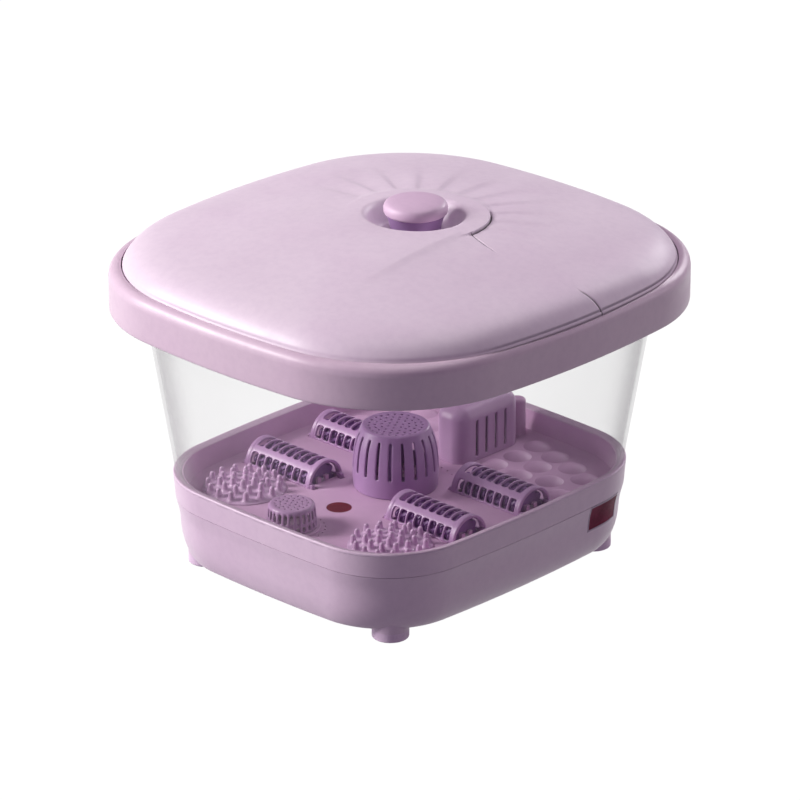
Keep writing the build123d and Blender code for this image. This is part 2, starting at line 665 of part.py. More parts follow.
# ---------------------------------------------------------------------------
# Fittings on the tub floor
# ---------------------------------------------------------------------------

mound_r = (PAD_R**2 + PAD_H**2) / (2 * PAD_H)
for side, sx in (("left", -1), ("right", 1)):
    spots = [(0.9, 0.6)]
    for count, radius, start in ((6, 10.5, 10.0), (11, 20.5, 0.0), (15, 30.5, 6.0)):
        spots += [
            (radius * cos(radians(start + 360 * j / count)), radius * sin(radians(start + 360 * j / count)))
            for j in range(count)
        ]
    with BuildPart() as pad:
        with BuildSketch(Plane(origin=(sx * PAD_X, PAD_Y, FLOOR_Z), x_dir=(1, 0, 0), z_dir=(0, -1, 0))):
            with BuildLine():
                Line((0, 0), (PAD_R, 0))
                Line((PAD_R, 0), (PAD_R, 0.8))
                mid_r, mid_d = cap_middle(PAD_R, PAD_H)
                ThreePointArc((PAD_R, 0.8), (mid_r, 0.8 + PAD_H - mid_d), (0, 0.8 + PAD_H))
                Line((0, 0.8 + PAD_H), (0, 0))
            make_face()
        revolve(axis=Axis((sx * PAD_X, PAD_Y, 0), (0, 0, 1)))
        for nx, ny in spots:
            base = 0.6 + PAD_H * (1 - (nx * nx + ny * ny) / PAD_R**2)
            with BuildSketch(
                Plane(origin=(sx * PAD_X + nx, PAD_Y + ny, FLOOR_Z), x_dir=(1, 0, 0), z_dir=(0, -1, 0))
            ):
                with BuildLine():
                    Polyline((0, 0.2), (NUB_R + 0.3, 0.2), (NUB_R - 0.3, base + NUB_H - 2.2))
                    mid_r, mid_d = cap_middle(NUB_R - 0.3, 2.2)
                    ThreePointArc(
                        (NUB_R - 0.3, base + NUB_H - 2.2), (mid_r, base + NUB_H - mid_d), (0, base + NUB_H)
                    )
                    Line((0, base + NUB_H), (0, 0.2))
                make_face()
            revolve(axis=Axis((sx * PAD_X + nx, PAD_Y + ny, 0), (0, 0, 1)))
    done(pad.part, f"spike_pad_{side}")

with BuildPart() as cup_seat:
    with BuildSketch(Plane.XY.offset(FLOOR_Z)):
        with Locations((0, CUP_Y)):
            Circle(CUP_FLANGE_R)
    extrude(amount=2.0)
    with BuildSketch(Plane.XY.offset(FLOOR_Z + 2.0)):
        with Locations((0, CUP_Y)):
            Circle(18.3)
    extrude(amount=3.0)
    with BuildSketch(Plane.XY.offset(FLOOR_Z + 1.5)):
        with Locations((0, CUP_Y)):
            Circle(16.0)
    extrude(amount=6.0, mode=Mode.SUBTRACT)
    fillet(cup_seat.edges().filter_by(GeomType.CIRCLE).filter_by(lambda e: abs(e.radius - CUP_FLANGE_R) < 0.01).group_by(Axis.Z)[-1], 1.2)
done(cup_seat.part, "herb_cup_seat")

CUP_LOW_Z = FLOOR_Z + 2.3
with BuildPart() as herb_cup:
    with BuildSketch(Plane(origin=(0, CUP_Y, 0), x_dir=(1, 0, 0), z_dir=(0, -1, 0))):
        with BuildLine():
            Polyline((0, CUP_TOP_Z), (0, CUP_TOP_Z - 2.0), (CUP_R_TOP - 3.0, CUP_TOP_Z - 2.6), (CUP_R_LOW - 2.4, CUP_LOW_Z), (CUP_R_LOW, CUP_LOW_Z))
            Line((CUP_R_LOW, CUP_LOW_Z), (CUP_R_TOP, CUP_TOP_Z - 3.2))
            ThreePointArc((CUP_R_TOP, CUP_TOP_Z - 3.2), (CUP_R_TOP - 0.9, CUP_TOP_Z - 1.2), (CUP_R_TOP - 3.0, CUP_TOP_Z - 0.3))
            Line((CUP_R_TOP - 3.0, CUP_TOP_Z - 0.3), (0, CUP_TOP_Z))
        make_face()
    revolve(axis=Axis((0, CUP_Y, 0), (0, 0, 1)))
    # two rows of slots
    for z0, z1 in ((CUP_LOW_Z + 1.2, CUP_LOW_Z + 5.6), (CUP_LOW_Z + 8.2, CUP_TOP_Z - 3.6)):
        for j in range(CUP_SLOTS // 2):
            with BuildSketch(Plane.XY.offset(z0)):
                with Locations((0, CUP_Y)):
                    Rectangle(60.0, 2.5, rotation=360.0 * j / CUP_SLOTS)
                    Circle(14.0, mode=Mode.SUBTRACT)
            extrude(amount=z1 - z0, mode=Mode.SUBTRACT)
    with BuildSketch(Plane.XY.offset(CUP_TOP_Z - 5)):
        with Locations((0, CUP_Y)):
            Circle(0.8)
            with PolarLocations(6.0, 6):
                Circle(0.8)
            with PolarLocations(12.0, 12):
                Circle(0.8)
    extrude(amount=10.0, mode=Mode.SUBTRACT)
done(herb_cup.part, "herb_cup")

with BuildPart() as spray_seat:
    with BuildSketch(Plane.XY.offset(FLOOR_Z)):
        with Locations((0, SPRAY_Y)):
            Circle(33.0)
            Circle(28.0, mode=Mode.SUBTRACT)
    extrude(amount=5.0)
    with BuildSketch(Plane.XY.offset(FLOOR_Z)):
        with Locations((0, SPRAY_Y)):
            Circle(28.5)
            Circle(11.0, mode=Mode.SUBTRACT)
            with PolarLocations(20.0, 10):
                Circle(4.0, mode=Mode.SUBTRACT)
    extrude(amount=2.0)
done(spray_seat.part, "spray_seat")

SPRAY_LOW_Z = FLOOR_Z + 0.3
with BuildPart() as spray_cover:
    with BuildSketch(Plane(origin=(0, SPRAY_Y, 0), x_dir=(1, 0, 0), z_dir=(0, -1, 0))):
        with BuildLine():
            Spline((36.2, SPRAY_LOW_Z), (36.9, 82.0), (36.2, 96.0), (34.0, 109.0), (30.4, 118.2), (28.5, 122.3))
            Polyline((28.5, 122.3), (27.2, 122.5), (26.0, 121.4), (0, 119.3), (0, 117.0), (25.0, 118.8))
            Spline((25.0, 118.8), (28.0, 116.6), (31.6, 108.0), (33.8, 95.5), (34.5, 82.0), (33.8, SPRAY_LOW_Z))
            Line((33.8, SPRAY_LOW_Z), (36.2, SPRAY_LOW_Z))
        make_face()
    revolve(axis=Axis((0, SPRAY_Y, 0), (0, 0, 1)))
    for j in range(SPRAY_SLOTS // 2):
        with BuildSketch(Plane.XY.offset(84.0)):
            with Locations((0, SPRAY_Y)):
                Rectangle(90.0, 2.8, rotation=360.0 * j / SPRAY_SLOTS)
                Circle(22.0, mode=Mode.SUBTRACT)
        extrude(amount=32.0, mode=Mode.SUBTRACT)
    with BuildSketch(Plane.XY.offset(115.0)):
        with Locations((0, SPRAY_Y)):
            Circle(0.9)
            with PolarLocations(8.0, 6):
                Circle(0.9)
            with PolarLocations(15.5, 12):
                Circle(0.9)
            with PolarLocations(22.5, 16):
                Circle(0.9)
    extrude(amount=10.0, mode=Mode.SUBTRACT)
done(spray_cover.part, "spray_cover")

with BuildPart() as spray_tube:
    with BuildSketch(Plane.XY.offset(50.0)):
        with Locations((0, SPRAY_Y)):
            Circle(6.0)
    extrude(amount=60.0)
    with BuildSketch(Plane.XY.offset(FLOOR_Z)):
        with Locations((0, SPRAY_Y)):
            Circle(10.5)
    extrude(amount=2.5)
    with BuildSketch(Plane.XY.offset(49.0)):
        with Locations((0, SPRAY_Y)):
            Circle(4.0)
    extrude(amount=70.0, mode=Mode.SUBTRACT)
done(spray_tube.part, "spray_tube")

with BuildPart() as infrared_lens:
    with BuildSketch(Plane.XY.offset(FLOOR_Z - 2.0)):
        with Locations((0, LENS_Y)):
            Circle(LENS_R)
    extrude(amount=1.9)
    with BuildSketch(Plane.XY.offset(58.6)):
        with Locations((0, LENS_Y)):
            Circle(8.3)
            Circle(6.5, mode=Mode.SUBTRACT)
    extrude(amount=FLOOR_Z - 2.0 - 58.6)
done(infrared_lens.part, "infrared_lens")

with BuildPart() as infrared_board:
    with BuildSketch(Plane.XY.offset(57.0)):
        with Locations((0, LENS_Y)):
            Circle(12.0)
    extrude(amount=1.6)
    with BuildSketch(Plane.XY.offset(58.6)):
        with Locations((0, LENS_Y)):
            Circle(2.5)
    extrude(amount=3.4)
done(infrared_board.part, "infrared_board")

with BuildPart() as rear_housing:
    hy = (HOUSING_Y0 + HOUSING_Y1) / 2
    with BuildSketch(Plane.XY.offset(FLOOR_Z)):
        with Locations((0, hy)):
            RectangleRounded(2 * HOUSING_X, HOUSING_Y1 - HOUSING_Y0, 13.0)
    extrude(amount=HOUSING_TOP_Z - FLOOR_Z)
    fillet(rear_housing.edges().group_by(Axis.Z)[-1], 11.0)
    with BuildSketch(Plane.XY.offset(FLOOR_Z)):
        with Locations((0, hy)):
            RectangleRounded(2 * HOUSING_X - 5.0, HOUSING_Y1 - HOUSING_Y0 - 5.0, 10.5)
    extrude(amount=HOUSING_TOP_Z - FLOOR_Z - 12.0, mode=Mode.SUBTRACT)
    with BuildSketch(Plane.XY.offset(71.0)):
        with Locations(*[(0, y) for y in (78.5, 90.5, 102.5, 114.5)]):
            Rectangle(50.0, 3.0)
    extrude(amount=33.0, mode=Mode.SUBTRACT)
done(rear_housing.part, "rear_housing")

with BuildPart() as heater_element:
    with BuildLine() as heater_path:
        FilletPolyline((0, 76, 60), (0, 76, 96), (0, 118, 96), (0, 118, 60), radius=9.0)
    with BuildSketch(Plane(origin=(0, 76, 60), z_dir=(0, 0, 1))):
        Circle(3.5)
    sweep()
done(heater_element.part, "heater_element")

with BuildPart() as temperature_sensor:
    with BuildSketch(Plane.XY.offset(58.0)):
        with Locations((0, 97)):
            Circle(3.0)
    extrude(amount=18.0)
    with BuildSketch(Plane.XY.offset(FLOOR_Z)):
        with Locations((0, 97)):
            Circle(5.0)
    extrude(amount=1.5)
done(temperature_sensor.part, "temperature_sensor")

with BuildPart() as column:
    with BuildSketch(Plane.XY.offset(FLOOR_Z)):
        with Locations((1.0, COLUMN_Y)):
            Circle(COLUMN_R)
    extrude(amount=COLUMN_TOP_Z - FLOOR_Z)
    fillet(column.edges().group_by(Axis.Z)[-1], 2.5)
done(column.part, "level_sensor_column")

# ---------------------------------------------------------------------------
# Inside the base
# ---------------------------------------------------------------------------

with BuildPart() as water_pump:
    with BuildSketch(Plane.XY.offset(15.0)):
        with Locations((0, SPRAY_Y)):
            Circle(21.0)
    extrude(amount=28.0)
    with BuildSketch(Plane.XY.offset(43.0)):
        with Locations((0, SPRAY_Y)):
            Circle(12.0)
    extrude(amount=7.0)
    with BuildSketch(Plane.XY.offset(15.0)):
        with Locations((0, SPRAY_Y)):
            Rectangle(58.0, 14.0)
    extrude(amount=3.0)
done(water_pump.part, "water_pump")

with BuildPart() as air_pump:
    with BuildSketch(Plane.XY.offset(15.0)):
        with Locations((-88, 105)):
            RectangleRounded(60.0, 46.0, 5.0)
    extrude(amount=29.0)
    with BuildSketch(Plane.XZ.offset(-82.0)):
        with Locations((-88, 30.0)):
            Circle(3.0)
    extrude(amount=6.0)
done(air_pump.part, "air_pump")

with BuildPart() as bubble_manifold:
    with BuildSketch(Plane.XY.offset(55.0)):
        with Locations((0, CUP_Y)):
            Circle(31.0)
            Circle(25.0, mode=Mode.SUBTRACT)
        with Locations((0, -167.0)):
            Rectangle(80.0, 34.0, mode=Mode.SUBTRACT)
    extrude(amount=FLOOR_Z - FLOOR_T - 55.0)
    with BuildSketch(Plane.XY.offset(57.0)):
        with Locations((0, CUP_Y)):
            Circle(29.6)
            Circle(26.4, mode=Mode.SUBTRACT)
        with Locations((0, -165.5)):
            Rectangle(80.0, 34.0, mode=Mode.SUBTRACT)
    extrude(amount=8.0, mode=Mode.SUBTRACT)
    with BuildSketch(Plane.XY.offset(50.0)):
        with Locations((-28.0, CUP_Y)):
            Circle(2.8)
    extrude(amount=5.5)
done(bubble_manifold.part, "bubble_manifold")

with BuildPart() as air_hose:
    with BuildLine() as hose_path:
        FilletPolyline((-88, 76, 30), (-88, CUP_Y, 30), (-28, CUP_Y, 30), (-28, CUP_Y, 50), radius=12.0)
    with BuildSketch(Plane(origin=(-88, 76, 30), z_dir=(0, -1, 0))):
        Circle(3.2)
    sweep()
done(air_hose.part, "air_hose")

with BuildPart() as control_board:
    with BuildSketch(Plane.XY.offset(20.0)):
        with Locations((0, 112)):
            Rectangle(80.0, 60.0)
    extrude(amount=1.6)
    with BuildSketch(Plane.XY.offset(15.0)):
        with Locations((0, 112)):
            with GridLocations(70.0, 50.0, 2, 2):
                Circle(3.0)
    extrude(amount=5.0)
    with BuildSketch(Plane.XY.offset(21.6)):
        with Locations((-22, 100)):
            Rectangle(24.0, 20.0)
        with Locations((20, 96)):
            Rectangle(16.0, 12.0)
        with Locations((22, 120)):
            Circle(6.0)
    extrude(amount=14.0)
done(control_board.part, "control_board")

with BuildPart() as display_board:
    with BuildSketch(Plane.YZ.offset(130.5)):
        with Locations((93.0, 51.0)):
            Rectangle(34.0, 18.0)
    extrude(amount=1.6)
    with BuildSketch(Plane.YZ.offset(132.1)):
        with Locations((91.0, 51.5)):
            Rectangle(26.0, 14.0)
    extrude(amount=4.0)
done(display_board.part, "display_board")

with BuildPart() as cord_bush:
    with BuildSketch(Plane.XZ.offset(-148.0)):
        with Locations((0, BUSH_Z)):
            Circle(6.4)
    extrude(amount=-19.0)
    with BuildSketch(Plane.XZ.offset(-166.4)):
        with Locations((0, BUSH_Z)):
            Circle(9.0)
    extrude(amount=-2.2)
    fillet(cord_bush.edges().filter_by(GeomType.CIRCLE).group_by(Axis.Y)[-1], 0.8)
    with BuildSketch(Plane.XZ.offset(-140.0)):
        with Locations((0, BUSH_Z)):
            Circle(BUSH_BORE_R)
    extrude(amount=-40.0, mode=Mode.SUBTRACT)
done(cord_bush.part, "cord_bush")

with BuildPart() as wiring_harness:
    with BuildLine() as wire_path:
        FilletPolyline((18, 132, 21.6), (18, 132, 30), (60, 132, 30), (118, 96, 30), (118, 96, 49), (130.5, 96, 49), radius=5.0)
    with BuildSketch(Plane(origin=(18, 132, 21.6), z_dir=(0, 0, 1))):
        Circle(2.2)
    sweep()
done(wiring_harness.part, "wiring_harness")
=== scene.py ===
import math

import bpy
import numpy as np
from mathutils import Matrix, Vector


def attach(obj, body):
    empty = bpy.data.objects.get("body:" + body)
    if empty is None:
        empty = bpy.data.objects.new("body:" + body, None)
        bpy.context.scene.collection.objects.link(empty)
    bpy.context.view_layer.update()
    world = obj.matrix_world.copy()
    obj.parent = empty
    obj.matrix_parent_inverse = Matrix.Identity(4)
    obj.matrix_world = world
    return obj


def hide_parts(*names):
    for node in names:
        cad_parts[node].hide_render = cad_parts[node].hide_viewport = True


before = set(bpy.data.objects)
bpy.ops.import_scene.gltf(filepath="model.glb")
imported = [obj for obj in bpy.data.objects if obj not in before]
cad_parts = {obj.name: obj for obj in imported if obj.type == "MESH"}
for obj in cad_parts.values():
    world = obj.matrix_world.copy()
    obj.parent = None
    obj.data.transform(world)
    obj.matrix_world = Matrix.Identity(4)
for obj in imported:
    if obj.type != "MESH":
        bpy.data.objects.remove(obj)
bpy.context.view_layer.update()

MM = 0.001

# ---------------------------------------------------------------------------
# The object's sizes, in millimetres. They follow the CAD parts.
# ---------------------------------------------------------------------------
RING = (210.0, 222.0, 937.6, 910.5, 133.3)
LID = (205.5, 213.5, 721.5, 706.0, 139.2)
WALL_HIGH = (184.6, 197.1, 1033.7, 1000.6, 109.5)
WALL_LOW = (152.3, 168.5, 1471.9, 1410.7, 77.3)
RIM = (154.1, 170.3, 1487.6, 1426.3, 78.2)
BOTTOM = (139.5, 159.6, 1427.0, 1353.9, 71.4)
LAND_BORE = (176.5, 189.5, 1020.0, 990.0, 103.0)
FLOOR_Z = 66.5
RIM_Z = 84.0
SEAM_Z = 64.0
KNOB_Y = 18.5
CAGE_X, CAGE_LEN, CAGE_R = 84.0, 78.0, 20.0
STATIONS = {
    "front_left": (-CAGE_X, -45.0),
    "front_right": (CAGE_X, -45.0),
    "rear_left": (-CAGE_X, 35.0),
    "rear_right": (CAGE_X, 35.0),
}
HOOP_W, RIB_W, WINDOWS = 6.0, 1.8, 8
RIB_TOP = 1.5
PITCH = (CAGE_LEN - 2 * HOOP_W + RIB_W) / WINDOWS
AXLE_Z = 67.0


# ---------------------------------------------------------------------------
# Meshes
# ---------------------------------------------------------------------------
def grown(shape, d):
    return tuple(v + d for v in shape)


def mix(s0, s1, t):
    return tuple(p + (q - p) * t for p, q in zip(s0, s1))


def outline_at(shape, normals):
    """Points of an eight-arc outline where its outward normal points at the given angles."""
    a, b, ra, rb, rc = shape
    dx, dy, d1, d2 = ra - a, rb - b, ra - rc, rb - rc
    dist = math.hypot(dx, dy)
    along = (d1 * d1 - d2 * d2 + dist * dist) / (2 * dist)
    across = math.sqrt(d1 * d1 - along * along)
    cx = -dx + (along * dx + across * dy) / dist
    cy = (-along * dy + across * dx) / dist
    t1, t2 = math.atan2(cy, cx + dx), math.atan2(cy + dy, cx)
    n = np.asarray(normals, float)
    c, s = np.abs(np.cos(n)), np.abs(np.sin(n))
    m = np.arctan2(s, c)
    x = np.where(m < t1, -dx + ra * c, np.where(m <= t2, cx + rc * c, rb * c))
    y = np.where(m < t1, ra * s, np.where(m <= t2, cy + rc * s, -dy + rb * s))
    return np.stack([x * np.sign(np.cos(n)), y * np.sign(np.sin(n))], -1)


def spread(shape, count):
    """Normal angles of points spaced evenly along an outline."""
    n = np.linspace(0, 2 * math.pi, 40001)
    p = outline_at(shape, n)
    run = np.concatenate([[0], np.cumsum(np.hypot(*np.diff(p, axis=0).T))])
    return np.interp(np.arange(count) / count * run[-1], run, n)


def polar_table(shape):
    p = outline_at(shape, np.linspace(-math.pi, math.pi, 20001))
    a = np.arctan2(p[:, 1], p[:, 0])
    o = np.argsort(a)
    return a[o], np.hypot(p[:, 0], p[:, 1])[o]


def smooth(lo, hi, v):
    t = np.clip((v - lo) / (hi - lo), 0, 1)
    return t * t * (3 - 2 * t)


def make(name, verts, faces, body, mat, replaces=(), sharp=None):
    """A mesh piece in the row frame from points in millimetres."""
    me = bpy.data.meshes.new(name)
    me.vertices.add(len(verts))
    me.vertices.foreach_set("co", (np.asarray(verts, float) * MM).astype(np.float32).ravel())
    if isinstance(faces, np.ndarray):
        k = faces.shape[1]
        me.loops.add(faces.size)
        me.loops.foreach_set("vertex_index", faces.astype(np.int32).ravel())
        me.polygons.add(len(faces))
        me.polygons.foreach_set("loop_start", np.arange(0, faces.size, k, dtype=np.int32))
        me.update(calc_edges=True)
    else:
        me.from_pydata([], [], [])
        me = bpy.data.meshes.new(name)
        me.from_pydata((np.asarray(verts, float) * MM).tolist(), [], [list(map(int, f)) for f in faces])
    me.validate()
    me.polygons.foreach_set("use_smooth", np.ones(len(me.polygons), bool))
    me.update()
    if sharp:
        me.set_sharp_from_angle(angle=math.radians(sharp))
    o = bpy.data.objects.new(name, me)
    bpy.context.scene.collection.objects.link(o)
    me.materials.append(mat)
    if body:
        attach(o, body)
    if replaces:
        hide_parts(*replaces)
    return o


def stitch(rings, close=False):
    """Quads between successive rings of the same number of points. close joins the last ring to the first."""
    rings = [np.asarray(r, float) for r in rings]
    n, m = len(rings), len(rings[0])
    v = np.concatenate(rings)
    i = np.arange(m)
    j = (i + 1) % m
    q = []
    for k in range(n if close else n - 1):
        a, b = k * m, ((k + 1) % n) * m
        q.append(np.stack([a + i, a + j, b + j, b + i], -1))
    return v, np.concatenate(q)


def level(points, z):
    return np.column_stack([points, np.broadcast_to(np.asarray(z, float), (len(points),))])


def turned(profile, count, x=0.0, y=0.0):
    """A closed mesh made by turning a profile of (radius, height) round a vertical axis. Ends on the axis are closed."""
    t = np.arange(count) * 2 * math.pi / count
    c, s = np.cos(t), np.sin(t)
    rows, verts, faces = [], [], []
    at = 0
    for r, z in profile:
        if r < 1e-6:
            verts.append([[x, y, z]])
            rows.append((at, 1))
            at += 1
        else:
            verts.append(np.column_stack([x + r * c, y + r * s, np.full(count, z)]))
            rows.append((at, count))
            at += count
    i = np.arange(count)
    j = (i + 1) % count
    for (a, na), (b, nb) in zip(rows, rows[1:]):
        if na == 1 and nb == 1:
            continue
        if na == 1:
            faces += np.stack([np.full(count, a), b + j, b + i], -1).tolist()
        elif nb == 1:
            faces += np.stack([a + i, a + j, np.full(count, b)], -1).tolist()
        else:
            faces += np.stack([a + i, a + j, b + j, b + i], -1).tolist()
    return np.concatenate([np.asarray(v, float) for v in verts]), faces


def curve_through(points, count):
    """Points along a smooth Catmull-Rom curve."""
    p = np.asarray(points, float)
    p = np.vstack([2 * p[0] - p[1], p, 2 * p[-1] - p[-2]])
    out = []
    for k in range(1, len(p) - 2):
        t = np.linspace(0, 1, count, endpoint=False)[:, None]
        a, b, c, d = p[k - 1], p[k], p[k + 1], p[k + 2]
        out.append(0.5 * (2 * b + (c - a) * t + (2 * a - 5 * b + 4 * c - d) * t**2 + (3 * b - a - 3 * c + d) * t**3))
    out.append(p[-2][None])
    return np.concatenate(out)


def rounded_profile(corners, steps=6):
    """A profile whose corners (radius, height, rounding) are turned into small arcs."""
    out = []
    n = len(corners)
    for k, (r, z, f) in enumerate(corners):
        p = np.array([r, z], float)
        if f <= 0 or k in (0, n - 1):
            out.append(tuple(p))
            continue
        u = np.array(corners[k - 1][:2], float) - p
        w = np.array(corners[k + 1][:2], float) - p
        u, w = u / np.linalg.norm(u), w / np.linalg.norm(w)
        half = math.acos(max(-1, min(1, float(u @ w)))) / 2
        if half > 1.55:
            out.append(tuple(p))
            continue
        back = f / math.tan(half)
        mid = p + (u + w) / np.linalg.norm(u + w) * f / math.sin(half)
        a, b = p + u * back - mid, p + w * back - mid
        whole = math.acos(max(-1, min(1, float(a @ b) / f / f)))
        for t in np.linspace(0, 1, steps + 1):
            out.append(tuple(mid + (math.sin((1 - t) * whole) * a + math.sin(t * whole) * b) / math.sin(whole)))
    return out


# Signed distances. Each takes arrays that broadcast together, and is negative inside.
def box2(u, v, hu, hv, r):
    qu, qv = np.abs(u) - hu + r, np.abs(v) - hv + r
    return np.hypot(np.maximum(qu, 0), np.maximum(qv, 0)) + np.minimum(np.maximum(qu, qv), 0) - r


def both(a, b, r):
    """Overlap of two shapes with edges rounded by r."""
    return np.minimum(np.maximum(a, b), -r) + np.hypot(np.maximum(a + r, 0), np.maximum(b + r, 0)) if r > 0 else np.maximum(a, b)


def joined(a, b, r):
    """Union of two shapes with a fillet of radius r between them."""
    return np.maximum(np.minimum(a, b), r) - np.hypot(np.maximum(r - a, 0), np.maximum(r - b, 0)) if r > 0 else np.minimum(a, b)


CORNERS = np.array([(i, j, k) for i in (0, 1) for j in (0, 1) for k in (0, 1)])
EDGES = [(a, b) for a in range(8) for b in range(a + 1, 8) if abs(CORNERS[a] - CORNERS[b]).sum() == 1]


def surface(f, low, high, step):
    """The zero surface of f as quads, each point drawn onto it."""
    low = np.asarray(low, float)
    n = np.ceil((np.asarray(high, float) - low) / step).astype(int) + 1
    ax = [low[i] + step * np.arange(n[i]) for i in range(3)]
    g = np.ascontiguousarray(
        np.broadcast_to(f(ax[0][:, None, None], ax[1][None, :, None], ax[2][None, None, :]), n), dtype=np.float32
    )
    inside = g < 0
    m = n - 1
    count = np.zeros(m, np.int8)
    for i, j, k in CORNERS:
        count += inside[i : i + m[0], j : j + m[1], k : k + m[2]]
    cells = np.argwhere((count > 0) & (count < 8))
    number = np.full(m, -1, np.int64)
    number[tuple(cells.T)] = np.arange(len(cells))
    val = np.stack([g[tuple((cells + c).T)] for c in CORNERS], 1).astype(float)
    total, hits = np.zeros((len(cells), 3)), np.zeros(len(cells))
    for a, b in EDGES:
        cross = (val[:, a] < 0) != (val[:, b] < 0)
        t = np.where(cross, val[:, a] / np.where(cross, val[:, a] - val[:, b], 1), 0)
        p = CORNERS[a] + t[:, None] * (CORNERS[b] - CORNERS[a])
        total += np.where(cross[:, None], p, 0)
        hits += cross
    pts = low + (cells + total / hits[:, None]) * step
    quads = []
    for axis in range(3):
        u, v = (axis + 1) % 3, (axis + 2) % 3
        sl0, sl1 = [slice(None)] * 3, [slice(None)] * 3
        sl0[axis], sl1[axis] = slice(0, -1), slice(1, None)
        change = inside[tuple(sl0)] != inside[tuple(sl1)]
        at = np.argwhere(change)
        at = at[(at[:, u] > 0) & (at[:, v] > 0) & (at[:, u] < n[u] - 1) & (at[:, v] < n[v] - 1)]
        out = ~inside[tuple((at + np.eye(3, dtype=int)[axis]).T)]
        du, dv = np.eye(3, dtype=int)[u], np.eye(3, dtype=int)[v]
        q = np.stack([number[tuple((at - du * p - dv * r).T)] for p, r in ((1, 1), (0, 1), (0, 0), (1, 0))], 1)
        q[~out] = q[~out][:, ::-1]
        quads.append(q[(q >= 0).all(1)])
    e = 0.02
    for _ in range(2):
        x, y, z = pts.T
        d = f(x, y, z)
        gr = np.stack([f(x + e, y, z) - f(x - e, y, z), f(x, y + e, z) - f(x, y - e, z), f(x, y, z + e) - f(x, y, z - e)], 1) / (2 * e)
        move = -(d / np.maximum((gr**2).sum(1), 0.3))[:, None] * gr
        size = np.linalg.norm(move, axis=1, keepdims=True)
        pts = pts + move * np.minimum(1, 0.45 * step / np.maximum(size, 1e-9))
    return pts, np.concatenate(quads)


# ---------------------------------------------------------------------------
# Materials
# ---------------------------------------------------------------------------
def srgb(r, g, b):
    return tuple((c / 255 / 12.92 if c / 255 <= 0.04045 else ((c / 255 + 0.055) / 1.055) ** 2.4) for c in (r, g, b)) + (1.0,)


def base_material(name):
    mat = bpy.data.materials.new(name)
    mat.use_nodes = True
    nt = mat.node_tree
    p = nt.nodes["Principled BSDF"]
    return mat, nt, p


def noise(nt, scale, detail=3.0, rough=0.5, stretch=None):
    tc = nt.nodes.new("ShaderNodeTexCoord")
    out = tc.outputs["Object"]
    if stretch:
        mp = nt.nodes.new("ShaderNodeMapping")
        mp.inputs["Scale"].default_value = stretch
        nt.links.new(out, mp.inputs["Vector"])
        out = mp.outputs["Vector"]
    n = nt.nodes.new("ShaderNodeTexNoise")
    n.inputs["Scale"].default_value = scale
    n.inputs["Detail"].default_value = detail
    n.inputs["Roughness"].default_value = rough
    nt.links.new(out, n.inputs["Vector"])
    return n.outputs["Fac"]


def ramp(nt, fac, stops):
    r = nt.nodes.new("ShaderNodeValToRGB")
    while len(r.color_ramp.elements) < len(stops):
        r.color_ramp.elements.new(0.5)
    for e, (pos, col) in zip(r.color_ramp.elements, stops):
        e.position, e.color = pos, col
    nt.links.new(fac, r.inputs["Fac"])
    return r.outputs["Color"]


def span(nt, fac, a, b, lo, hi):
    m = nt.nodes.new("ShaderNodeMapRange")
    for k, v in zip(("From Min", "From Max", "To Min", "To Max"), (a, b, lo, hi)):
        m.inputs[k].default_value = v
    nt.links.new(fac, m.inputs["Value"])
    return m.outputs["Result"]


def blend_colour(nt, fac, a, b, mode="MIX"):
    m = nt.nodes.new("ShaderNodeMix")
    m.data_type, m.blend_type = "RGBA", mode
    for sock, v in ((m.inputs[0], fac), (m.inputs[6], a), (m.inputs[7], b)):
        if isinstance(v, (int, float, tuple)):
            sock.default_value = v
        else:
            nt.links.new(v, sock)
    return m.outputs[2]


def bump(nt, height, strength, distance, after=None):
    b = nt.nodes.new("ShaderNodeBump")
    b.inputs["Strength"].default_value = strength
    b.inputs["Distance"].default_value = distance
    nt.links.new(height, b.inputs["Height"])
    if after is not None:
        nt.links.new(after, b.inputs["Normal"])
    return b.outputs["Normal"]


def shade(c, k, hue=(1, 1, 1)):
    return (min(1, c[0] * k * hue[0]), min(1, c[1] * k * hue[1]), min(1, c[2] * k * hue[2]), 1.0)


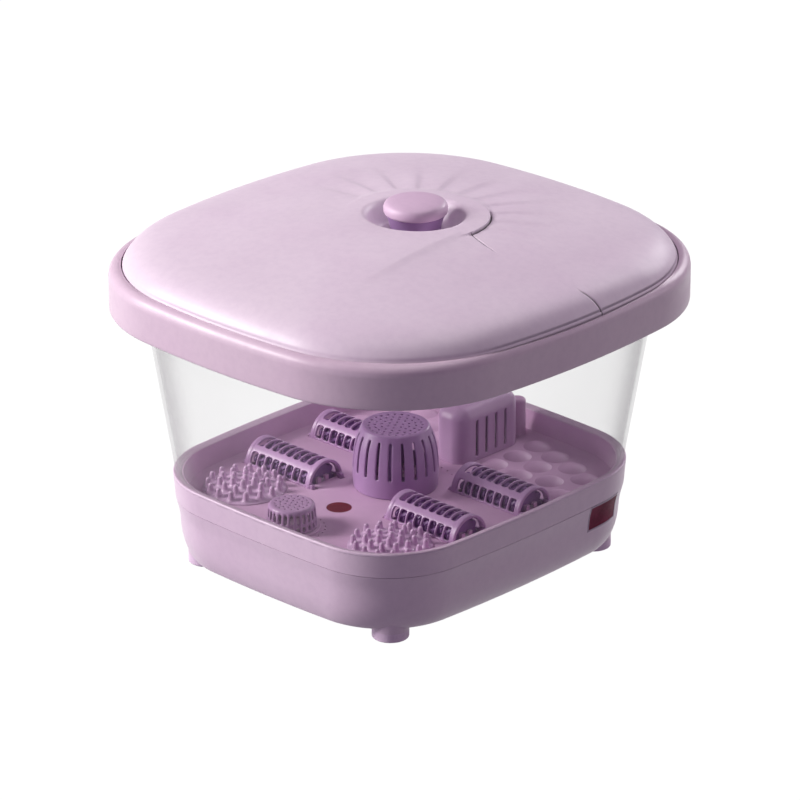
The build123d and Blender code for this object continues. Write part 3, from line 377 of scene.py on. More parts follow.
def plastic(name, colour, rough=0.34, grain=0.05, vary=0.06, coat=0.0, specular=0.5, flow=True, sheen=0.0, groove_shade=False):
    """Moulded satin plastic: soft flow marks, a fine eroded mould grain and uneven gloss. With groove_shade, painted
    shade darkens it where the groove_shade attribute is set.
    """
    mat, nt, p = base_material(name)
    broad = noise(nt, 9.0, 4.0, 0.55, (1, 1, 0.6))
    fine = noise(nt, 140.0, 3.0, 0.6)
    col = ramp(nt, broad, [(0.30, shade(colour, 1 - vary, (1.0, 0.97, 1.0))), (0.52, colour), (0.74, shade(colour, 1 + vary * 0.6, (1.0, 1.01, 0.995)))])
    fleck = ramp(nt, fine, [(0.35, (0.93, 0.92, 0.94, 1)), (0.60, (1, 1, 1, 1))])
    col = blend_colour(nt, 0.55, col, fleck, "MULTIPLY")
    # painted shade: the groove_shade attribute darkens the colour in hairline gaps and creases
    if groove_shade:
        at = nt.nodes.new("ShaderNodeAttribute")
        at.attribute_name = "groove_shade"
        col = blend_colour(nt, span(nt, at.outputs["Fac"], 0.12, 0.7, 0.0, 0.96), col, shade(colour, 0.07))
    nt.links.new(col, p.inputs["Base Color"])
    marks = noise(nt, 26.0, 5.0, 0.62, (1.0, 0.4, 1.6))
    nt.links.new(span(nt, marks, 0.3, 0.72, rough - 0.07, rough + 0.09), p.inputs["Roughness"])
    grains = noise(nt, 1500.0, 2.0, 0.5)
    n1 = bump(nt, grains, grain, 0.0003)
    if flow:
        n1 = bump(nt, noise(nt, 34.0, 2.0, 0.4), 0.05, 0.0012, n1)
    nt.links.new(n1, p.inputs["Normal"])
    p.inputs["Specular IOR Level"].default_value = specular
    if coat:
        p.inputs["Coat Weight"].default_value = coat
        p.inputs["Coat Roughness"].default_value = 0.22
    if sheen:
        p.inputs["Sheen Weight"].default_value = sheen
        p.inputs["Sheen Roughness"].default_value = 0.4
    return mat


def clear_plastic(name):
    """Clear acrylic: nearly open face on, light grey haze towards its edges, with faint wipe marks."""
    mat, nt, p = base_material(name)
    wipe = noise(nt, 18.0, 6.0, 0.6, (1.0, 1.0, 0.15))
    grey = ramp(nt, wipe, [(0.3, srgb(156, 154, 156)), (0.7, srgb(168, 167, 169))])
    nt.links.new(span(nt, wipe, 0.3, 0.75, 0.03, 0.12), p.inputs["Roughness"])
    p.inputs["IOR"].default_value = 1.49
    lw = nt.nodes.new("ShaderNodeLayerWeight")
    lw.inputs["Blend"].default_value = 0.5
    r = nt.nodes.new("ShaderNodeMapRange")
    r.interpolation_type = "SMOOTHSTEP"
    for k, v in zip(("From Min", "From Max", "To Min", "To Max"), (0.27, 0.94, 0.030, 0.31)):
        r.inputs[k].default_value = v
    nt.links.new(lw.outputs["Facing"], r.inputs["Value"])
    tc = nt.nodes.new("ShaderNodeTexCoord")
    sep = nt.nodes.new("ShaderNodeSeparateXYZ")
    nt.links.new(tc.outputs["Object"], sep.inputs["Vector"])
    # painted light: the foot of the wall, below about 84.4 mm inside its slot, is opaque lilac, covering the dark shade
    # of the slot behind it
    foot = span(nt, sep.outputs["Z"], 0.0842, 0.0846, 1.0, 0.0)
    m = nt.nodes.new("ShaderNodeMath")
    m.operation = "MAXIMUM"
    nt.links.new(r.outputs["Result"], m.inputs[0])
    nt.links.new(foot, m.inputs[1])
    nt.links.new(m.outputs["Value"], p.inputs["Alpha"])
    nt.links.new(blend_colour(nt, foot, grey, srgb(214, 188, 211)), p.inputs["Base Color"])
    return mat


def tinted_lens(name, colour, dark, rough=0.18, scale=300.0, gloss=0.2):
    mat, nt, p = base_material(name)
    cells = nt.nodes.new("ShaderNodeTexVoronoi")
    tc = nt.nodes.new("ShaderNodeTexCoord")
    cells.inputs["Scale"].default_value = scale
    nt.links.new(tc.outputs["Object"], cells.inputs["Vector"])
    cloud = noise(nt, 60.0, 4.0)
    col = ramp(nt, cloud, [(0.3, dark), (0.7, colour)])
    spots = ramp(nt, cells.outputs["Distance"], [(0.1, (1, 1, 1, 1)), (0.6, (0.72, 0.68, 0.7, 1))])
    nt.links.new(blend_colour(nt, 0.7, col, spots, "MULTIPLY"), p.inputs["Base Color"])
    nt.links.new(span(nt, noise(nt, 80.0, 4.0), 0.3, 0.7, rough - 0.05, rough + 0.08), p.inputs["Roughness"])
    nt.links.new(bump(nt, cells.outputs["Distance"], 0.12, 0.0004), p.inputs["Normal"])
    p.inputs["Specular IOR Level"].default_value = gloss
    return mat


def rubber(name, colour, rough=0.7):
    mat, nt, p = base_material(name)
    dust = noise(nt, 45.0, 5.0, 0.65)
    nt.links.new(ramp(nt, dust, [(0.35, colour), (0.75, shade(colour, 1.25))]), p.inputs["Base Color"])
    nt.links.new(span(nt, dust, 0.3, 0.7, rough - 0.1, rough + 0.1), p.inputs["Roughness"])
    nt.links.new(bump(nt, noise(nt, 900.0, 2.0), 0.18, 0.0004), p.inputs["Normal"])
    p.inputs["Specular IOR Level"].default_value = 0.35
    return mat


def metal(name, colour, rough=0.28, brushed=(1, 1, 18)):
    mat, nt, p = base_material(name)
    lines = noise(nt, 220.0, 3.0, 0.6, brushed)
    nt.links.new(ramp(nt, lines, [(0.3, shade(colour, 0.82)), (0.7, colour)]), p.inputs["Base Color"])
    nt.links.new(span(nt, lines, 0.3, 0.7, rough - 0.08, rough + 0.12), p.inputs["Roughness"])
    nt.links.new(bump(nt, lines, 0.08, 0.0002), p.inputs["Normal"])
    p.inputs["Metallic"].default_value = 1.0
    return mat


def board(name, colour, trace):
    mat, nt, p = base_material(name)
    tc = nt.nodes.new("ShaderNodeTexCoord")
    w = nt.nodes.new("ShaderNodeTexBrick")
    w.inputs["Scale"].default_value = 160.0
    w.inputs["Mortar Size"].default_value = 0.04
    w.inputs["Color1"].default_value = colour
    w.inputs["Color2"].default_value = shade(colour, 0.85)
    w.inputs["Mortar"].default_value = trace
    nt.links.new(tc.outputs["Object"], w.inputs["Vector"])
    nt.links.new(w.outputs["Color"], p.inputs["Base Color"])
    nt.links.new(span(nt, noise(nt, 300.0), 0.3, 0.7, 0.3, 0.5), p.inputs["Roughness"])
    nt.links.new(bump(nt, w.outputs["Fac"], 0.2, 0.0003), p.inputs["Normal"])
    return mat


LILAC = srgb(214, 196, 214)
M = {
    "shell": plastic("shell_lilac_satin", srgb(214, 190, 211), 0.36, 0.05, 0.05),
    "ring": plastic("ring_lilac_satin", srgb(210, 186, 204), 0.38, 0.05, 0.045, groove_shade=True),
    "lid": plastic("lid_lilac_satin", srgb(224, 207, 222), 0.42, 0.06, 0.045, sheen=0.08, groove_shade=True),
    "floor": plastic("floor_lilac_satin", srgb(209, 171, 204), 0.5, 0.05, 0.06, specular=0.32),
    "knob": plastic("knob_lilac", srgb(214, 186, 210), 0.46, 0.04, 0.05),
    # the stem is the cap's lilac plastic; its darker, deeper purple colour is painted shade under the cap
    "stem": plastic("knob_stem_painted_shade", srgb(158, 126, 172), 0.42, 0.05, 0.06),
    "cage": plastic("cage_lilac", srgb(184, 146, 188), 0.36, 0.04, 0.06),
    "roller": plastic("roller_purple", srgb(132, 88, 148), 0.46, 0.05, 0.08),
    "soft": plastic("soft_lilac", srgb(208, 174, 208), 0.36, 0.06, 0.07, sheen=0.1),
    "cup": plastic("cup_lilac", srgb(186, 148, 188), 0.32, 0.04, 0.06),
    "spray": plastic("spray_lilac", srgb(172, 136, 180), 0.38, 0.05, 0.06),
    "housing": plastic("housing_lilac", srgb(192, 158, 193), 0.38, 0.05, 0.06),
    "feet": rubber("foot_rubber_lilac", srgb(212, 188, 212), 0.55),
    "seal_lilac": rubber("seal_silicone_lilac", srgb(196, 172, 198), 0.5),
    "clear": clear_plastic("clear_acrylic"),
    "lens": tinted_lens("infrared_red", srgb(128, 34, 54), srgb(100, 22, 42), 0.3),
    "display": tinted_lens("display_dark_red", srgb(146, 54, 88), srgb(122, 42, 72), 0.34, 420.0, 0.02),
    "bezel": plastic("bezel_plum", srgb(150, 118, 152), 0.25, 0.03, 0.05),
    "steel": metal("brushed_steel", srgb(196, 196, 200)),
    "seal": rubber("seal_silicone_grey", srgb(150, 142, 152), 0.6),
    "board": board("circuit_board_green", srgb(30, 92, 58), srgb(150, 132, 70)),
    "pump": plastic("pump_grey", srgb(98, 98, 104), 0.45, 0.1, 0.08),
    "hose": rubber("hose_clear_grey", srgb(208, 208, 212), 0.35),
    "wire": rubber("wire_black", srgb(34, 34, 38), 0.5),
    "inner": plastic("inner_plastic_grey", srgb(188, 178, 190), 0.42, 0.08, 0.06),
}

# ---------------------------------------------------------------------------
# Lid: a pillow-shaped cover with a bowl for the knob, a collar and a tongue
# ---------------------------------------------------------------------------
LID_PA, LID_PR = polar_table(LID)


def lid_scale(x, y):
    """How far out a point is, as a fraction of the lid's outline."""
    return np.hypot(x, y) / np.interp(np.arctan2(y, x), LID_PA, LID_PR, period=2 * math.pi)


def pillow(x, y):
    s = np.minimum(lid_scale(x, y), 1.0)
    d = (1 - s) * 209.5
    return 272.0 + 14.3 * (1 - np.exp(-d / 8.6)) + 19.5 * (1 - s * s)


SEAM = np.array([(62.8, 19.8), (68.0, 17.4), (74.9, 14.9), (87.5, 11.2), (98.4, 8.9), (110.8, 7.5)])
EDGE_SEAM = np.array([(182.0, 15.2), (188.5, 17.0), (194.5, 19.2), (199.5, 21.3), (203.6, 23.0), (206.0, 24.0)])


def to_line(x, y, line):
    """Distance to a polyline, and how far along it, from 0 to 1, the nearest point is."""
    best, where = np.full(np.shape(x), 1e9), np.zeros(np.shape(x))
    runs = np.hypot(*np.diff(line, axis=0).T)
    past = np.concatenate([[0], np.cumsum(runs)])
    for k in range(len(line) - 1):
        a, b = line[k], line[k + 1]
        t = np.clip(((x - a[0]) * (b[0] - a[0]) + (y - a[1]) * (b[1] - a[1])) / runs[k] ** 2, 0, 1)
        d = np.hypot(x - a[0] - t * (b[0] - a[0]), y - a[1] - t * (b[1] - a[1]))
        where = np.where(d < best, (past[k] + t * runs[k]) / past[-1], where)
        best = np.minimum(best, d)
    return best, where


def lid_top(x, y):
    rx, ry = x, y - KNOB_Y
    r = np.hypot(rx, ry)
    phi = np.degrees(np.arctan2(ry, rx))
    z = pillow(x, y)
    # collar round the bowl, proud of the pillow: crisp on the right, soft elsewhere
    edge = 62.6
    crisp = smooth(72, 48, phi) * smooth(-20, -2, phi)
    width = 8.0 - 7.5 * crisp
    step = 1 - smooth(edge - width * 0.5, edge + width, r)
    # tongue from the collar towards the front, with its edge on the right
    side = 55.5 + (18.5 - y) * 0.072
    fade = smooth(-150.0, -34.0, y)
    wid = 0.9 + 4.5 * smooth(-10.0, -140.0, y)
    past = np.maximum(x - side, 0)
    tongue = np.exp(-past / 15.0) * smooth(-118.0, -20.0, x) * fade * smooth(24.0, 10.0, y)
    z = z + np.maximum(1.7 * step, 2.1 * tongue)
    # the pillow dips a little outside the collar's right side and the tongue
    dip = np.exp(-((past / 34.0) ** 2)) * smooth(side, side + 9.0, x) * fade * smooth(30, 0, y)
    z = z - 0.5 * dip
    dip2 = np.exp(-((np.maximum(r - edge, 0) / 14.0) ** 2)) * smooth(edge, edge + 1.2, r) * crisp
    z = z - 0.35 * dip2
    # flutes that fan out behind the collar
    fan = smooth(5, 24, phi) * smooth(196, 168, np.where(phi < -90, phi + 360, phi)) * (np.where(phi < -90, phi + 360, phi) > 0)
    turn = ((np.where(phi < -90, phi + 360, phi) - 6.0) / 16.0) % 1.0
    wave = np.where(turn < 0.76, turn / 0.76, (1.0 - turn) / 0.24)
    wave = wave * wave * (3 - 2 * wave)
    reach = smooth(58.0, 74.0, r) * smooth(150.0, 88.0, r)
    z = z - 1.15 * fan * reach * (wave - 0.5)
    return z - 1.9 * lid_groove(x, y)


def lid_groove(x, y):
    """Depth of the hairline gaps, from 0 to 1."""
    rx, ry = x, y - KNOB_Y
    r = np.hypot(rx, ry)
    phi = np.degrees(np.arctan2(ry, rx))
    gap = np.exp(-(((r - 63.5) / 0.62) ** 2)) * smooth(62, 40, phi) * smooth(-4, 3, phi)
    d, w = to_line(x, y, SEAM)
    gap = np.maximum(gap, 0.85 * np.exp(-((d / 0.55) ** 2)) * smooth(1.0, 0.3, w))
    d, w = to_line(x, y, EDGE_SEAM)
    return np.maximum(gap, 0.9 * np.exp(-((d / 0.6) ** 2)) * smooth(0.0, 0.45, w))


def build_lid():
    # directions from the knob's middle, closer together where the hairlines run
    n = spread(LID, 470)
    rim = outline_at(LID, n)
    psi = np.degrees(np.arctan2(rim[:, 1] - KNOB_Y, rim[:, 0]))
    extra = []
    dense_n = np.linspace(-0.25, 0.35, 6001)
    dr = outline_at(LID, dense_n)
    dpsi = np.degrees(np.arctan2(dr[:, 1] - KNOB_Y, dr[:, 0]))
    for a in np.concatenate([np.arange(-9.0, -3.0, 0.28), np.arange(-3.0, 2.4, 0.13)]):
        extra.append(np.interp(a, dpsi, dense_n))
    keep = ~((psi > -9.1) & (psi < 2.4))
    n = np.unique(np.concatenate([n[keep] % (2 * math.pi), np.asarray(extra) % (2 * math.pi)]))
    rim = outline_at(LID, n)
    c = np.array([0.0, KNOB_Y])
    v = rim - c
    length = np.hypot(*v.T)
    u = v / length[:, None]
    rings, heights = [], []
    for r in (6.0, 18.0, 27.0):
        rings.append(c + u * r)
        heights.append(np.full(len(n), 289.0))
    # the bowl's wall rises in one curve from its floor, and rolls over into the collar at 46 mm
    lip_at = c + u * 46.5
    lip = lid_top(lip_at[:, 0], lip_at[:, 1])
    wall = curve_through([(29.0, 0.0), (31.0, 0.014), (33.4, 0.09), (35.6, 0.25), (37.6, 0.46), (39.3, 0.66), (40.9, 0.82), (42.7, 0.93), (44.6, 0.985), (46.5, 1.0)], 4)
    for r, up in wall:
        rings.append(c + u * r)
        heights.append(289.0 + (lip - 289.0) * up)
    for r in np.concatenate([np.arange(47.5, 60.5, 1.6), np.arange(60.8, 66.0, 0.3), np.arange(66.5, 72.0, 1.1)]):
        p = c + u * r
        rings.append(p)
        heights.append(lid_top(p[:, 0], p[:, 1]))
    t = np.linspace(0, 1, 86)[1:]
    t = t + 0.0
    for f in t[:-1]:
        rr = 72.0 + (length - 72.0) * (1 - (1 - f) ** 1.12)
        p = c + u * rr[:, None]
        rings.append(p)
        heights.append(lid_top(p[:, 0], p[:, 1]))
    # rounded outer edge and plain side
    for inset, z in ((1.2, None), (0.55, None), (0.15, 271.6), (0.0, 270.6), (0.0, 266.6), (0.25, 266.15), (0.7, 266.0), (3.0, 266.0)):
        p = outline_at(grown(LID, -inset), n)
        rings.append(p)
        heights.append(lid_top(p[:, 0], p[:, 1]) - (0.3 if inset == 1.2 else 0.75) if z is None else np.full(len(n), z))
    # underside
    for s, drop in ((0.985, None), (0.97, None), (0.94, None), (0.88, None), (0.78, None), (0.64, None), (0.48, None), (0.34, None), (0.245, None)):
        p = outline_at(grown(tuple(a * s for a in LID), -0.0), n)
        q = c + u * (46.8 + (length - 46.8) * max(0.0, (s - 0.245) / 0.755))[:, None]
        rings.append(q)
        sc = np.minimum(lid_scale(q[:, 0], q[:, 1]) * 1.0, 1.0)
        heights.append(np.maximum(pillow(q[:, 0], q[:, 1]) - 3.4, 266.0) if s < 0.98 else np.maximum(pillow(q[:, 0], q[:, 1]) - 3.6, 266.0))
    for r, z in ((44.0, 296.0), (33.5, 286.2), (20.0, 285.9), (6.0, 285.9)):
        rings.append(c + u * r)
        heights.append(np.full(len(n), z))
    v, q = stitch([level(p, z) for p, z in zip(rings, heights)], close=True)
    o = make("lid_cover_moulded", v, q[:, ::-1], "lid", M["lid"], ["lid_cover"])
    # The groove_shade attribute carries painted shade: dark in the hairline gaps, and 0.3 on the side face that sits
    # down in the ring's pocket.
    groove_shade = o.data.attributes.new("groove_shade", "FLOAT", "POINT")
    depth = np.where(v[:, 2] > pillow(v[:, 0], v[:, 1]) - 3.2, lid_groove(v[:, 0], v[:, 1]), 0.0)
    side = (v[:, 2] < 270.8) & (lid_scale(v[:, 0], v[:, 1]) > 0.975)
    groove_shade.data.foreach_set("value", np.maximum(depth, 0.3 * side).astype(np.float32))
    return o


build_lid()


# ---------------------------------------------------------------------------
# Rim ring
# ---------------------------------------------------------------------------
def build_ring():
    n = spread(RING, 480)
    outer = outline_at(RING, n)
    way = np.arctan2(outer[:, 1], outer[:, 0])

    def facing(shape):
        """Points of another outline straight inwards of the ring's own."""
        a, r = polar_table(shape)
        return np.interp(way, a, r, period=2 * math.pi)[:, None] * np.column_stack([np.cos(way), np.sin(way)])

    pocket = facing(grown(LID, 0.8))
    gap = np.hypot(*(outer - pocket).T)
    rings = []

    def off(d, z):
        rings.append(level(outline_at(grown(RING, d), n), z))

    # skirt bottom and outer wall
    for d, z in ((-3.5, 236.0), (-3.1, 235.25), (-2.4, 235.0), (-1.3, 235.0), (-0.55, 235.2), (-0.12, 235.75), (0, 236.6)):
        off(d, z)
    for z in (240, 245, 250, 255, 259, 262, 263.5):
        off(0, z)
    # rounded shoulder, up to a small bead beside the lid
    for k in range(1, 15):
        t = k / 15
        d = t * (gap - 1.3)
        z = 263.5 + np.sqrt(np.maximum(8.5**2 - (8.5 - np.minimum(d, 8.5)) ** 2, 0))
        p = outer + (pocket - outer) * (d / gap)[:, None]
        rings.append(level(p, z))
    base_z = rings[-1][:, 2]
    for back, up in ((1.25, 0.08), (1.05, 0.34), (0.8, 0.46), (0.5, 0.42), (0.25, 0.2), (0.06, -0.2), (0.0, -0.7)):
        p = outer + (pocket - outer) * ((gap - back) / gap)[:, None]
        rings.append(level(p, np.minimum(base_z + up, 272.0)))
    # pocket wall, land and bore
    rings.append(level(pocket, 266.0))
    rings.append(level(facing(grown(LID, 0.5)), 265.1))
    rings.append(level(facing(grown(LID, -1.0)), 265.0))
    bore = facing(LAND_BORE)
    for d, z in ((1.2, 265.0), (0.3, 264.8), (0.0, 264.2), (0.0, 261.8), (0.4, 261.1), (1.2, 261.0)):
        rings.append(level(facing(grown(LAND_BORE, d)), z))
    for f in (0.35, 0.7):
        rings.append(level(bore + (outline_at(grown(RING, -5.5), n) - bore) * f, 261.0))
    for d, z in ((-6.0, 261.0), (-4.4, 260.6), (-3.7, 259.6), (-3.5, 258.0), (-3.5, 247.0)):
        off(d, z)
    v, q = stitch(rings, close=True)
    o = make("rim_ring_moulded", v, q, "basin", M["ring"], ["rim_ring"])
    # The groove_shade attribute paints shade, 0.3, on the pocket wall beside the lid's edge.
    groove_shade = o.data.attributes.new("groove_shade", "FLOAT", "POINT")
    reach = lid_scale(v[:, 0], v[:, 1])
    depth = 0.3 * ((v[:, 2] > 264.0) & (v[:, 2] < 271.4) & (reach > 0.975) & (reach < 1.0105))
    groove_shade.data.foreach_set("value", depth.astype(np.float32))
    return o


build_ring()


# ---------------------------------------------------------------------------
# Lip that closes the slot round the foot of the clear wall
# ---------------------------------------------------------------------------
def build_lip():
    n = spread(RIM, 480)
    rings = []
    for d, z in ((-0.08, 83.2), (-0.02, 83.9), (0.02, 84.5), (-0.05, 85.1), (-0.3, 85.5), (-0.75, 85.75), (-1.3, 85.8), (-2.4, 85.6), (-4.4, 85.05), (-6.2, 84.55), (-7.0, 84.3), (-7.34, 84.0), (-7.44, 83.6), (-7.36, 83.2)):
        rings.append(level(outline_at(grown(RIM, d), n), z))
    v, q = stitch(rings, close=True)
    return make("tub_lip_moulded", v, q, "basin", M["shell"], ())


build_lip()

# ---------------------------------------------------------------------------
# Knob
# ---------------------------------------------------------------------------
cap = rounded_profile([(0.0, 306.85, 0), (25.3, 306.85, 0.6), (27.0, 308.2, 1.6), (27.2, 310.6, 0)], 5)
cap += [tuple(p) for p in curve_through([(27.2, 310.6), (27.15, 312.4), (26.5, 314.6), (24.9, 316.4), (22.0, 317.6), (17.0, 318.4), (10.0, 318.95), (4.0, 319.17), (0.0, 319.2)], 6)[1:]]
cap[-1] = (0.0, 319.2)
v, f = turned(cap, 160, 0.0, KNOB_Y)
make("knob_cap_moulded", v, f, "lid", M["knob"], ["knob_cap"])
stem = [(0.0, 289.0), (19.6, 289.0)]
stem += [tuple(p) for p in curve_through([(20.6, 289.05), (21.2, 289.8), (21.5, 293.0), (22.2, 297.4), (23.2, 301.6), (24.3, 304.8), (24.8, 306.3)], 5)]
stem += [(24.6, 306.75), (0.0, 306.75)]
v, f = turned(stem, 144, 0.0, KNOB_Y)
make("knob_stem_moulded", v, f, "lid", M["stem"], ["knob_stem"])


# ---------------------------------------------------------------------------
# Roller cages and rollers
# ---------------------------------------------------------------------------
def cage_shape(x, y, z):
    r = np.hypot(y, z)
    arch = np.abs(r - (CAGE_R - 1.1)) - 1.1
    t = np.arctan2(z, -y)  # 0 on the front, rising over the top
    s = t * CAGE_R
    body = both(both(arch, np.abs(x) - CAGE_LEN / 2, 0.7), -z, 0.0)
    hoop = both(both(np.abs(r - (CAGE_R - 1.0)) - 1.35, np.abs(np.abs(x) - (CAGE_LEN / 2 - 2.0)) - 2.0, 0.9), -z, 0.0)
    body = joined(body, hoop, 0.5)
    cx = x + (WINDOWS - 1) / 2 * PITCH
    cx = cx - np.clip(np.round(cx / PITCH), 0, WINDOWS - 1) * PITCH
    cut = 1e9
    for lo, hi in ((5.0, 39.0), (58.0, 122.0), (141.0, 175.0)):
        mid, half = math.radians((lo + hi) / 2) * CAGE_R, math.radians((hi - lo) / 2) * CAGE_R
        cut = np.minimum(cut, box2(cx, s - mid, (PITCH - RIB_TOP) / 2, half, 2.2))
    body = both(body, -np.maximum(cut, r - 40), 0.55)
    lug = both(box2(np.abs(x) - CAGE_LEN / 2 + 0.4, np.abs(y) - 17.6, 3.0, 2.0, 0.8), np.abs(z - 0.9) - 2.6, 0.5)
    return np.minimum(body, lug)


cage_v, cage_q = surface(cage_shape, (-43.5, -21.5, -2.4), (43.5, 21.5, 21.5), 0.5)
for where, (sx, sy) in STATIONS.items():
    make(f"cage_{where}", cage_v + (sx, sy, FLOOR_Z), cage_q, "basin", M["cage"], [f"roller_cage_{where}"])


def roller_shape(x, y, z):
    r = np.hypot(y, z)
    a = np.arctan2(z, y)
    out = both(r - 13.4, np.abs(x) - 32.2, 1.2)
    for half in (0, 1):
        k = np.clip(np.round((x + (WINDOWS - 1) / 2 * PITCH + 1.5 - 3.0 * half) / PITCH), 0, WINDOWS - 1)
        cx = x - (k * PITCH - (WINDOWS - 1) / 2 * PITCH - 1.5 + 3.0 * half)
        turn = np.radians((k * 13.0 + half * 20.0) % 40.0)
        pitch = 2 * math.pi / 9
        b = (a - turn + pitch / 2) % pitch - pitch / 2
        lobe = np.hypot(r * np.cos(b) - 13.3, r * np.sin(b)) - 3.62
        disc = joined(r - 13.6, lobe, 0.9)
        disc = both(disc, np.abs(cx) - 1.38, 0.6)
        out = joined(out, disc, 0.35)
    return both(out, 2.5 - r, 0.2)


roll_v, roll_q = surface(roller_shape, (-33.0, -17.6, -17.6), (33.0, 17.6, 17.6), 0.5)
for where, (sx, sy) in STATIONS.items():
    make(f"roller_{where}_lobed", roll_v + (sx, sy, AXLE_Z), roll_q, f"roller_{where}", M["roller"], [f"massage_roller_{where}"])


# ---------------------------------------------------------------------------
# Spike pads
# ---------------------------------------------------------------------------
SPOTS = [(0.9, 0.6)]
for count, radius, start in ((6, 10.5, 10.0), (11, 20.5, 0.0), (15, 30.5, 6.0)):
    SPOTS += [
        (radius * math.cos(math.radians(start + 360 * j / count)), radius * math.sin(math.radians(start + 360 * j / count)))
        for j in range(count)
    ]
SPOTS = np.array(SPOTS)


def pad_shape(x, y, z):
    r = np.hypot(x, y)
    top = 0.8 + 4.5 * (1 - np.minimum(r / 36.0, 1.0) ** 2)
    mound = both(np.maximum((z - top) * 0.97, -z), r - 36.0, 0.5)
    d = np.full(np.broadcast(x, y).shape, 1e9)
    base = np.zeros(d.shape)
    for sx, sy in SPOTS:
        e = np.hypot(x - sx, y - sy)
        h = 0.6 + 4.5 * (1 - (sx * sx + sy * sy) / 36.0**2)
        base = np.where(e < d, h, base)
        d = np.minimum(d, e)
    up = z - base
    taper = 2.95 - 0.12 * np.clip(up, 0, 8)
    rod = np.maximum(d - taper, -up)
    tip = np.hypot(d, np.maximum(up - 6.4, 0) * 1.0) - 2.18
    nub = np.where(up > 6.4, tip, rod)
    return joined(mound, nub, 2.6)


pad_v, pad_q = surface(pad_shape, (-37.0, -37.0, -0.6), (37.0, 37.0, 14.6), 0.55)
for side, sx in (("left", -1), ("right", 1)):
    make(f"spike_pad_{side}_soft", pad_v + (sx * 86.0, -102.5, FLOOR_Z), pad_q, "basin", M["soft"], [f"spike_pad_{side}"])


# ---------------------------------------------------------------------------
# Herb cup
# ---------------------------------------------------------------------------
def wedge(x, y, count):
    """Distance across and radius from the middle line of the nearest of count equal sectors."""
    a, r = np.arctan2(y, x), np.hypot(x, y)
    p = 2 * math.pi / count
    return (a + p / 2) % p - p / 2, r


def cup_shape(x, y, z):
    b, r = wedge(x, y, 24)
    outer = 21.3 - 1.6 * np.clip((z - 68.8) / 17.0, 0, 1)
    flute = 0.30 * np.cos(b * 24)  # shallow flutes between the slots
    shell = (r - outer + flute * smooth(69.5, 72.0, z) * smooth(88.0, 85.0, z)) * 0.97
    body = both(shell, z - 88.9, 2.9)
    body = both(body, 68.8 - z, 0.5)
    room = both(r - 18.4, z - 86.6, 1.2)
    room = np.where(z < 68.0, r - 18.6, room)
    body = both(body, -room, 0.3)
    across = b * 20.5
    cut = 1e9
    for z0, z1 in ((70.2, 74.6), (77.2, 85.2)):
        cut = np.minimum(cut, box2(across, z - (z0 + z1) / 2, 1.45, (z1 - z0) / 2, 1.4))
    body = both(body, -np.maximum(cut, 14.0 - r), 0.45)
    hole = r - 0.95
    for ring, number in ((5.0, 6), (9.5, 12), (14.0, 16)):
        c, _ = wedge(x, y, number)
        hole = np.minimum(hole, np.hypot(r * np.cos(c) - ring, r * np.sin(c)) - 0.95)
    return both(body, -np.maximum(hole, 80.0 - z), 0.2)


v, q = surface(cup_shape, (-22.4, -22.4, 68.0), (22.4, 22.4, 89.8), 0.42)
make("herb_cup_fluted", v + (0, -131.5, 0), q, "herb_cup", M["cup"], ["herb_cup"])

# ---------------------------------------------------------------------------
# Spray cover
# ---------------------------------------------------------------------------
SPRAY_OUT = curve_through([(36.2, 66.8), (36.9, 82.0), (36.2, 96.0), (34.0, 109.0), (30.4, 118.2), (28.5, 122.3)], 12)


def spray_shape(x, y, z):
    b, r = wedge(x, y, 20)
    outer = np.interp(z, SPRAY_OUT[:, 1], SPRAY_OUT[:, 0])
    side = (r - outer) * 0.96
    top = 120.9 + 1.0 * smooth(22.0, 27.5, r)
    body = both(side, (z - top - 0.3 * 0) * 0.98, 1.5)
    body = both(body, 66.8 - z, 0.4)
    room = both((r - outer + 2.5) * 0.96, z - 116.6, 3.0)
    room = np.where(z < 66.0, side, room)
    body = both(body, -room, 0.3)
    slot = box2(b * 35.0, z - 100.0, 1.32, 16.2, 1.3)
    body = both(body, -np.maximum(slot, 24.0 - r), 0.6)
    hole = r - 1.15
    for ring, number in ((6.5, 6), (12.0, 12), (17.5, 18), (23.0, 24)):
        c, _ = wedge(x, y, number)
        hole = np.minimum(hole, np.hypot(r * np.cos(c) - ring, r * np.sin(c)) - 1.15)
    return both(body, -np.maximum(hole, 112.0 - z), 0.2)


v, q = surface(spray_shape, (-38.0, -38.0, 65.9), (38.0, 38.0, 123.2), 0.66)
make("spray_cover_slotted", v + (0, -6.0, 0), q, "spray_cover", M["spray"], ["spray_cover"])


# ---------------------------------------------------------------------------
# Rear housing
# ---------------------------------------------------------------------------
def housing_shape(x, y, z):
    wall = box2(x, y, 17.0, 38.5, 13.0)
    body = both(wall, z - 116.0, 11.0)
    body = both(body, 66.5 - z, 0.3)
    room = both(box2(x, y, 14.5, 36.0, 10.5), z - 112.8, 8.5)
    room = np.where(z < 66.0, wall, room)
    body = both(body, -room, 0.3)
    k = np.clip(np.round((y + 18.0) / 12.0), 0, 3)
    cy = y + 18.0 - k * 12.0
    slot = box2(cy, z - 87.5, 1.6, 16.8, 1.55)
    return both(body, -slot, 0.7)


v, q = surface(housing_shape, (-18.0, -39.5, 65.6), (18.0, 39.5, 117.0), 0.62)
make("rear_housing_rounded", v + (0, 96.5, 0), q, "basin", M["housing"], ["rear_housing"])

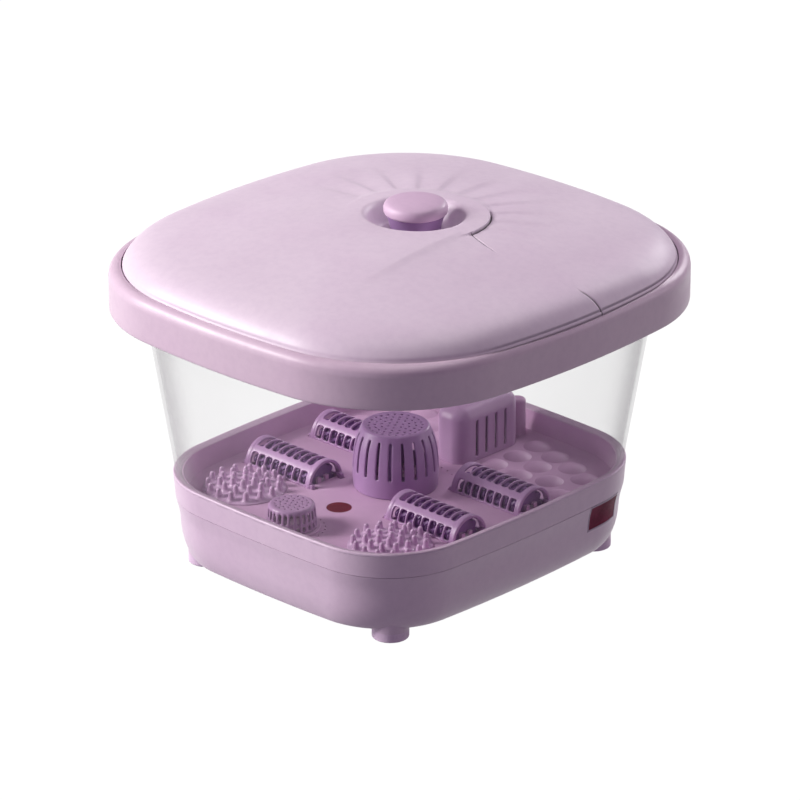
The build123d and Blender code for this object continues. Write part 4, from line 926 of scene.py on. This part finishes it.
# ---------------------------------------------------------------------------
# CAD nodes that stay: each gets the material of its real surface, save the spray tube, whose dark purple is painted
# shade
# ---------------------------------------------------------------------------
KEPT = {
    "shell": ["base_lower_case"],
    "floor": ["base_upper_case", "herb_cup_seat", "spray_seat", "level_sensor_column"],
    "clear": ["clear_wall"],
    "feet": ["rubber_feet"],
    "display": ["display_window"],
    "bezel": ["display_bezel"],
    "lens": ["infrared_lens"],
    "seal": ["wall_seal_upper", "lid_seal"],
    "seal_lilac": ["wall_seal_lower"],
    "steel": ["foot_screws", "case_screws", "clamp_screws", "knob_washer", "knob_screw", "heater_element", "temperature_sensor"]
    + [f"roller_axle_{w}" for w in STATIONS],
    "board": ["control_board", "display_board", "infrared_board"],
    "pump": ["water_pump", "air_pump", "cord_bush"],
    "inner": ["bubble_manifold", "rim_clamp_ring", "lid_liner"],
    # painted shade: the spray tube takes the dark roller purple so that the spray cover's slots look dark
    "roller": ["spray_tube"],
    "hose": ["air_hose"],
    "wire": ["wiring_harness"],
}
for key, names in KEPT.items():
    for name in names:
        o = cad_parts[name]
        o.data.materials.clear()
        o.data.materials.append(M[key])

# The outside of the upper case has the colour of the shell, and its inside that of the tub floor
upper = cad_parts["base_upper_case"].data
upper.materials.append(M["shell"])
RIM_PA, RIM_PR = polar_table(RIM)
mid = np.zeros(len(upper.polygons) * 3, np.float32)
upper.polygons.foreach_get("center", mid)
mid = mid.reshape(-1, 3) * 1000.0
reach = np.hypot(mid[:, 0], mid[:, 1]) / np.interp(np.arctan2(mid[:, 1], mid[:, 0]), RIM_PA, RIM_PR, period=2 * math.pi)
upper.polygons.foreach_set("material_index", ((mid[:, 2] > 63.0) & (reach > 0.976)).astype(np.int32))

# ---------------------------------------------------------------------------
# Floor, light and camera
# ---------------------------------------------------------------------------
fm = bpy.data.materials.new("studio_floor")
fm.use_nodes = True
fp = fm.node_tree.nodes["Principled BSDF"]
fp.inputs["Base Color"].default_value = (0.04, 0.04, 0.04, 1)
fp.inputs["Roughness"].default_value = 0.9
fp.inputs["Specular IOR Level"].default_value = 0.0
fp.inputs["Emission Color"].default_value = (1, 1, 1, 1)
fp.inputs["Emission Strength"].default_value = 1.0
floor = make("studio_floor", [(-9000, -9000, 0), (9000, -9000, 0), (9000, 9000, 0), (-9000, 9000, 0)], [(0, 1, 2, 3)], None, fm)
floor.visible_diffuse = False

scene = bpy.context.scene
world = bpy.data.worlds.new("studio")
scene.world = world
world.use_nodes = True
world.node_tree.nodes["Background"].inputs["Color"].default_value = (1.0, 0.74, 1.06, 1)
world.node_tree.nodes["Background"].inputs["Strength"].default_value = 0.13
scene.view_settings.view_transform = "Standard"


def area(name, place, target, size, power, colour=(1, 1, 1)):
    light = bpy.data.lights.new(name, "AREA")
    light.shape, light.size, light.energy, light.color = "DISK", size, power, colour
    o = bpy.data.objects.new(name, light)
    scene.collection.objects.link(o)
    o.location = place
    o.rotation_mode = "QUATERNION"
    o.rotation_quaternion = (Vector(target) - Vector(place)).to_track_quat("-Z", "Y")
    return o


area("key", (-2.15, -2.15, 1.85), (0, 0, 0.12), 1.3, 125.0, (1.0, 0.985, 0.96))
area("low", (-2.2, -1.95, 0.52), (0, 0, 0.12), 1.0, 25.0, (1.0, 0.97, 0.98))
area("back", (-0.3, 2.7, 1.5), (0, 0, 0.1), 1.4, 36.0, (1.0, 0.96, 1.0))
area("violet", (0.75, -2.22, 0.12), (0, 0, 0.06), 0.8, 3.6, (0.74, 0.62, 1.0))
area("right", (1.75, 2.3, 0.95), (0, 0, 0.22), 1.2, 11.0, (1.0, 0.95, 1.0))
area("top", (0.3, 0.2, 2.6), (0, 0, 0.2), 1.8, 12.0, (1.0, 0.97, 0.99))
tub = area("tub", (0, 0, 0.2285), (0, 0.0001, 0), 0.26, 0.08, (1.0, 0.95, 1.0))
tub.visible_camera = False

AZ, EL, DIST = math.radians(43.68), math.radians(22.79), 4.245
back = Vector((math.sin(AZ) * math.cos(EL), -math.cos(AZ) * math.cos(EL), math.sin(EL)))
cam = bpy.data.cameras.new("camera")
cam.lens, cam.sensor_width, cam.clip_start, cam.clip_end = 225.0, 36.0, 0.1, 60.0
camera = bpy.data.objects.new("camera", cam)
scene.collection.objects.link(camera)
camera.location = Vector((-0.00023, -0.00023, 0.14206)) + back * DIST
camera.rotation_mode = "QUATERNION"
camera.rotation_quaternion = (-back).to_track_quat("-Z", "Y")
scene.camera = camera
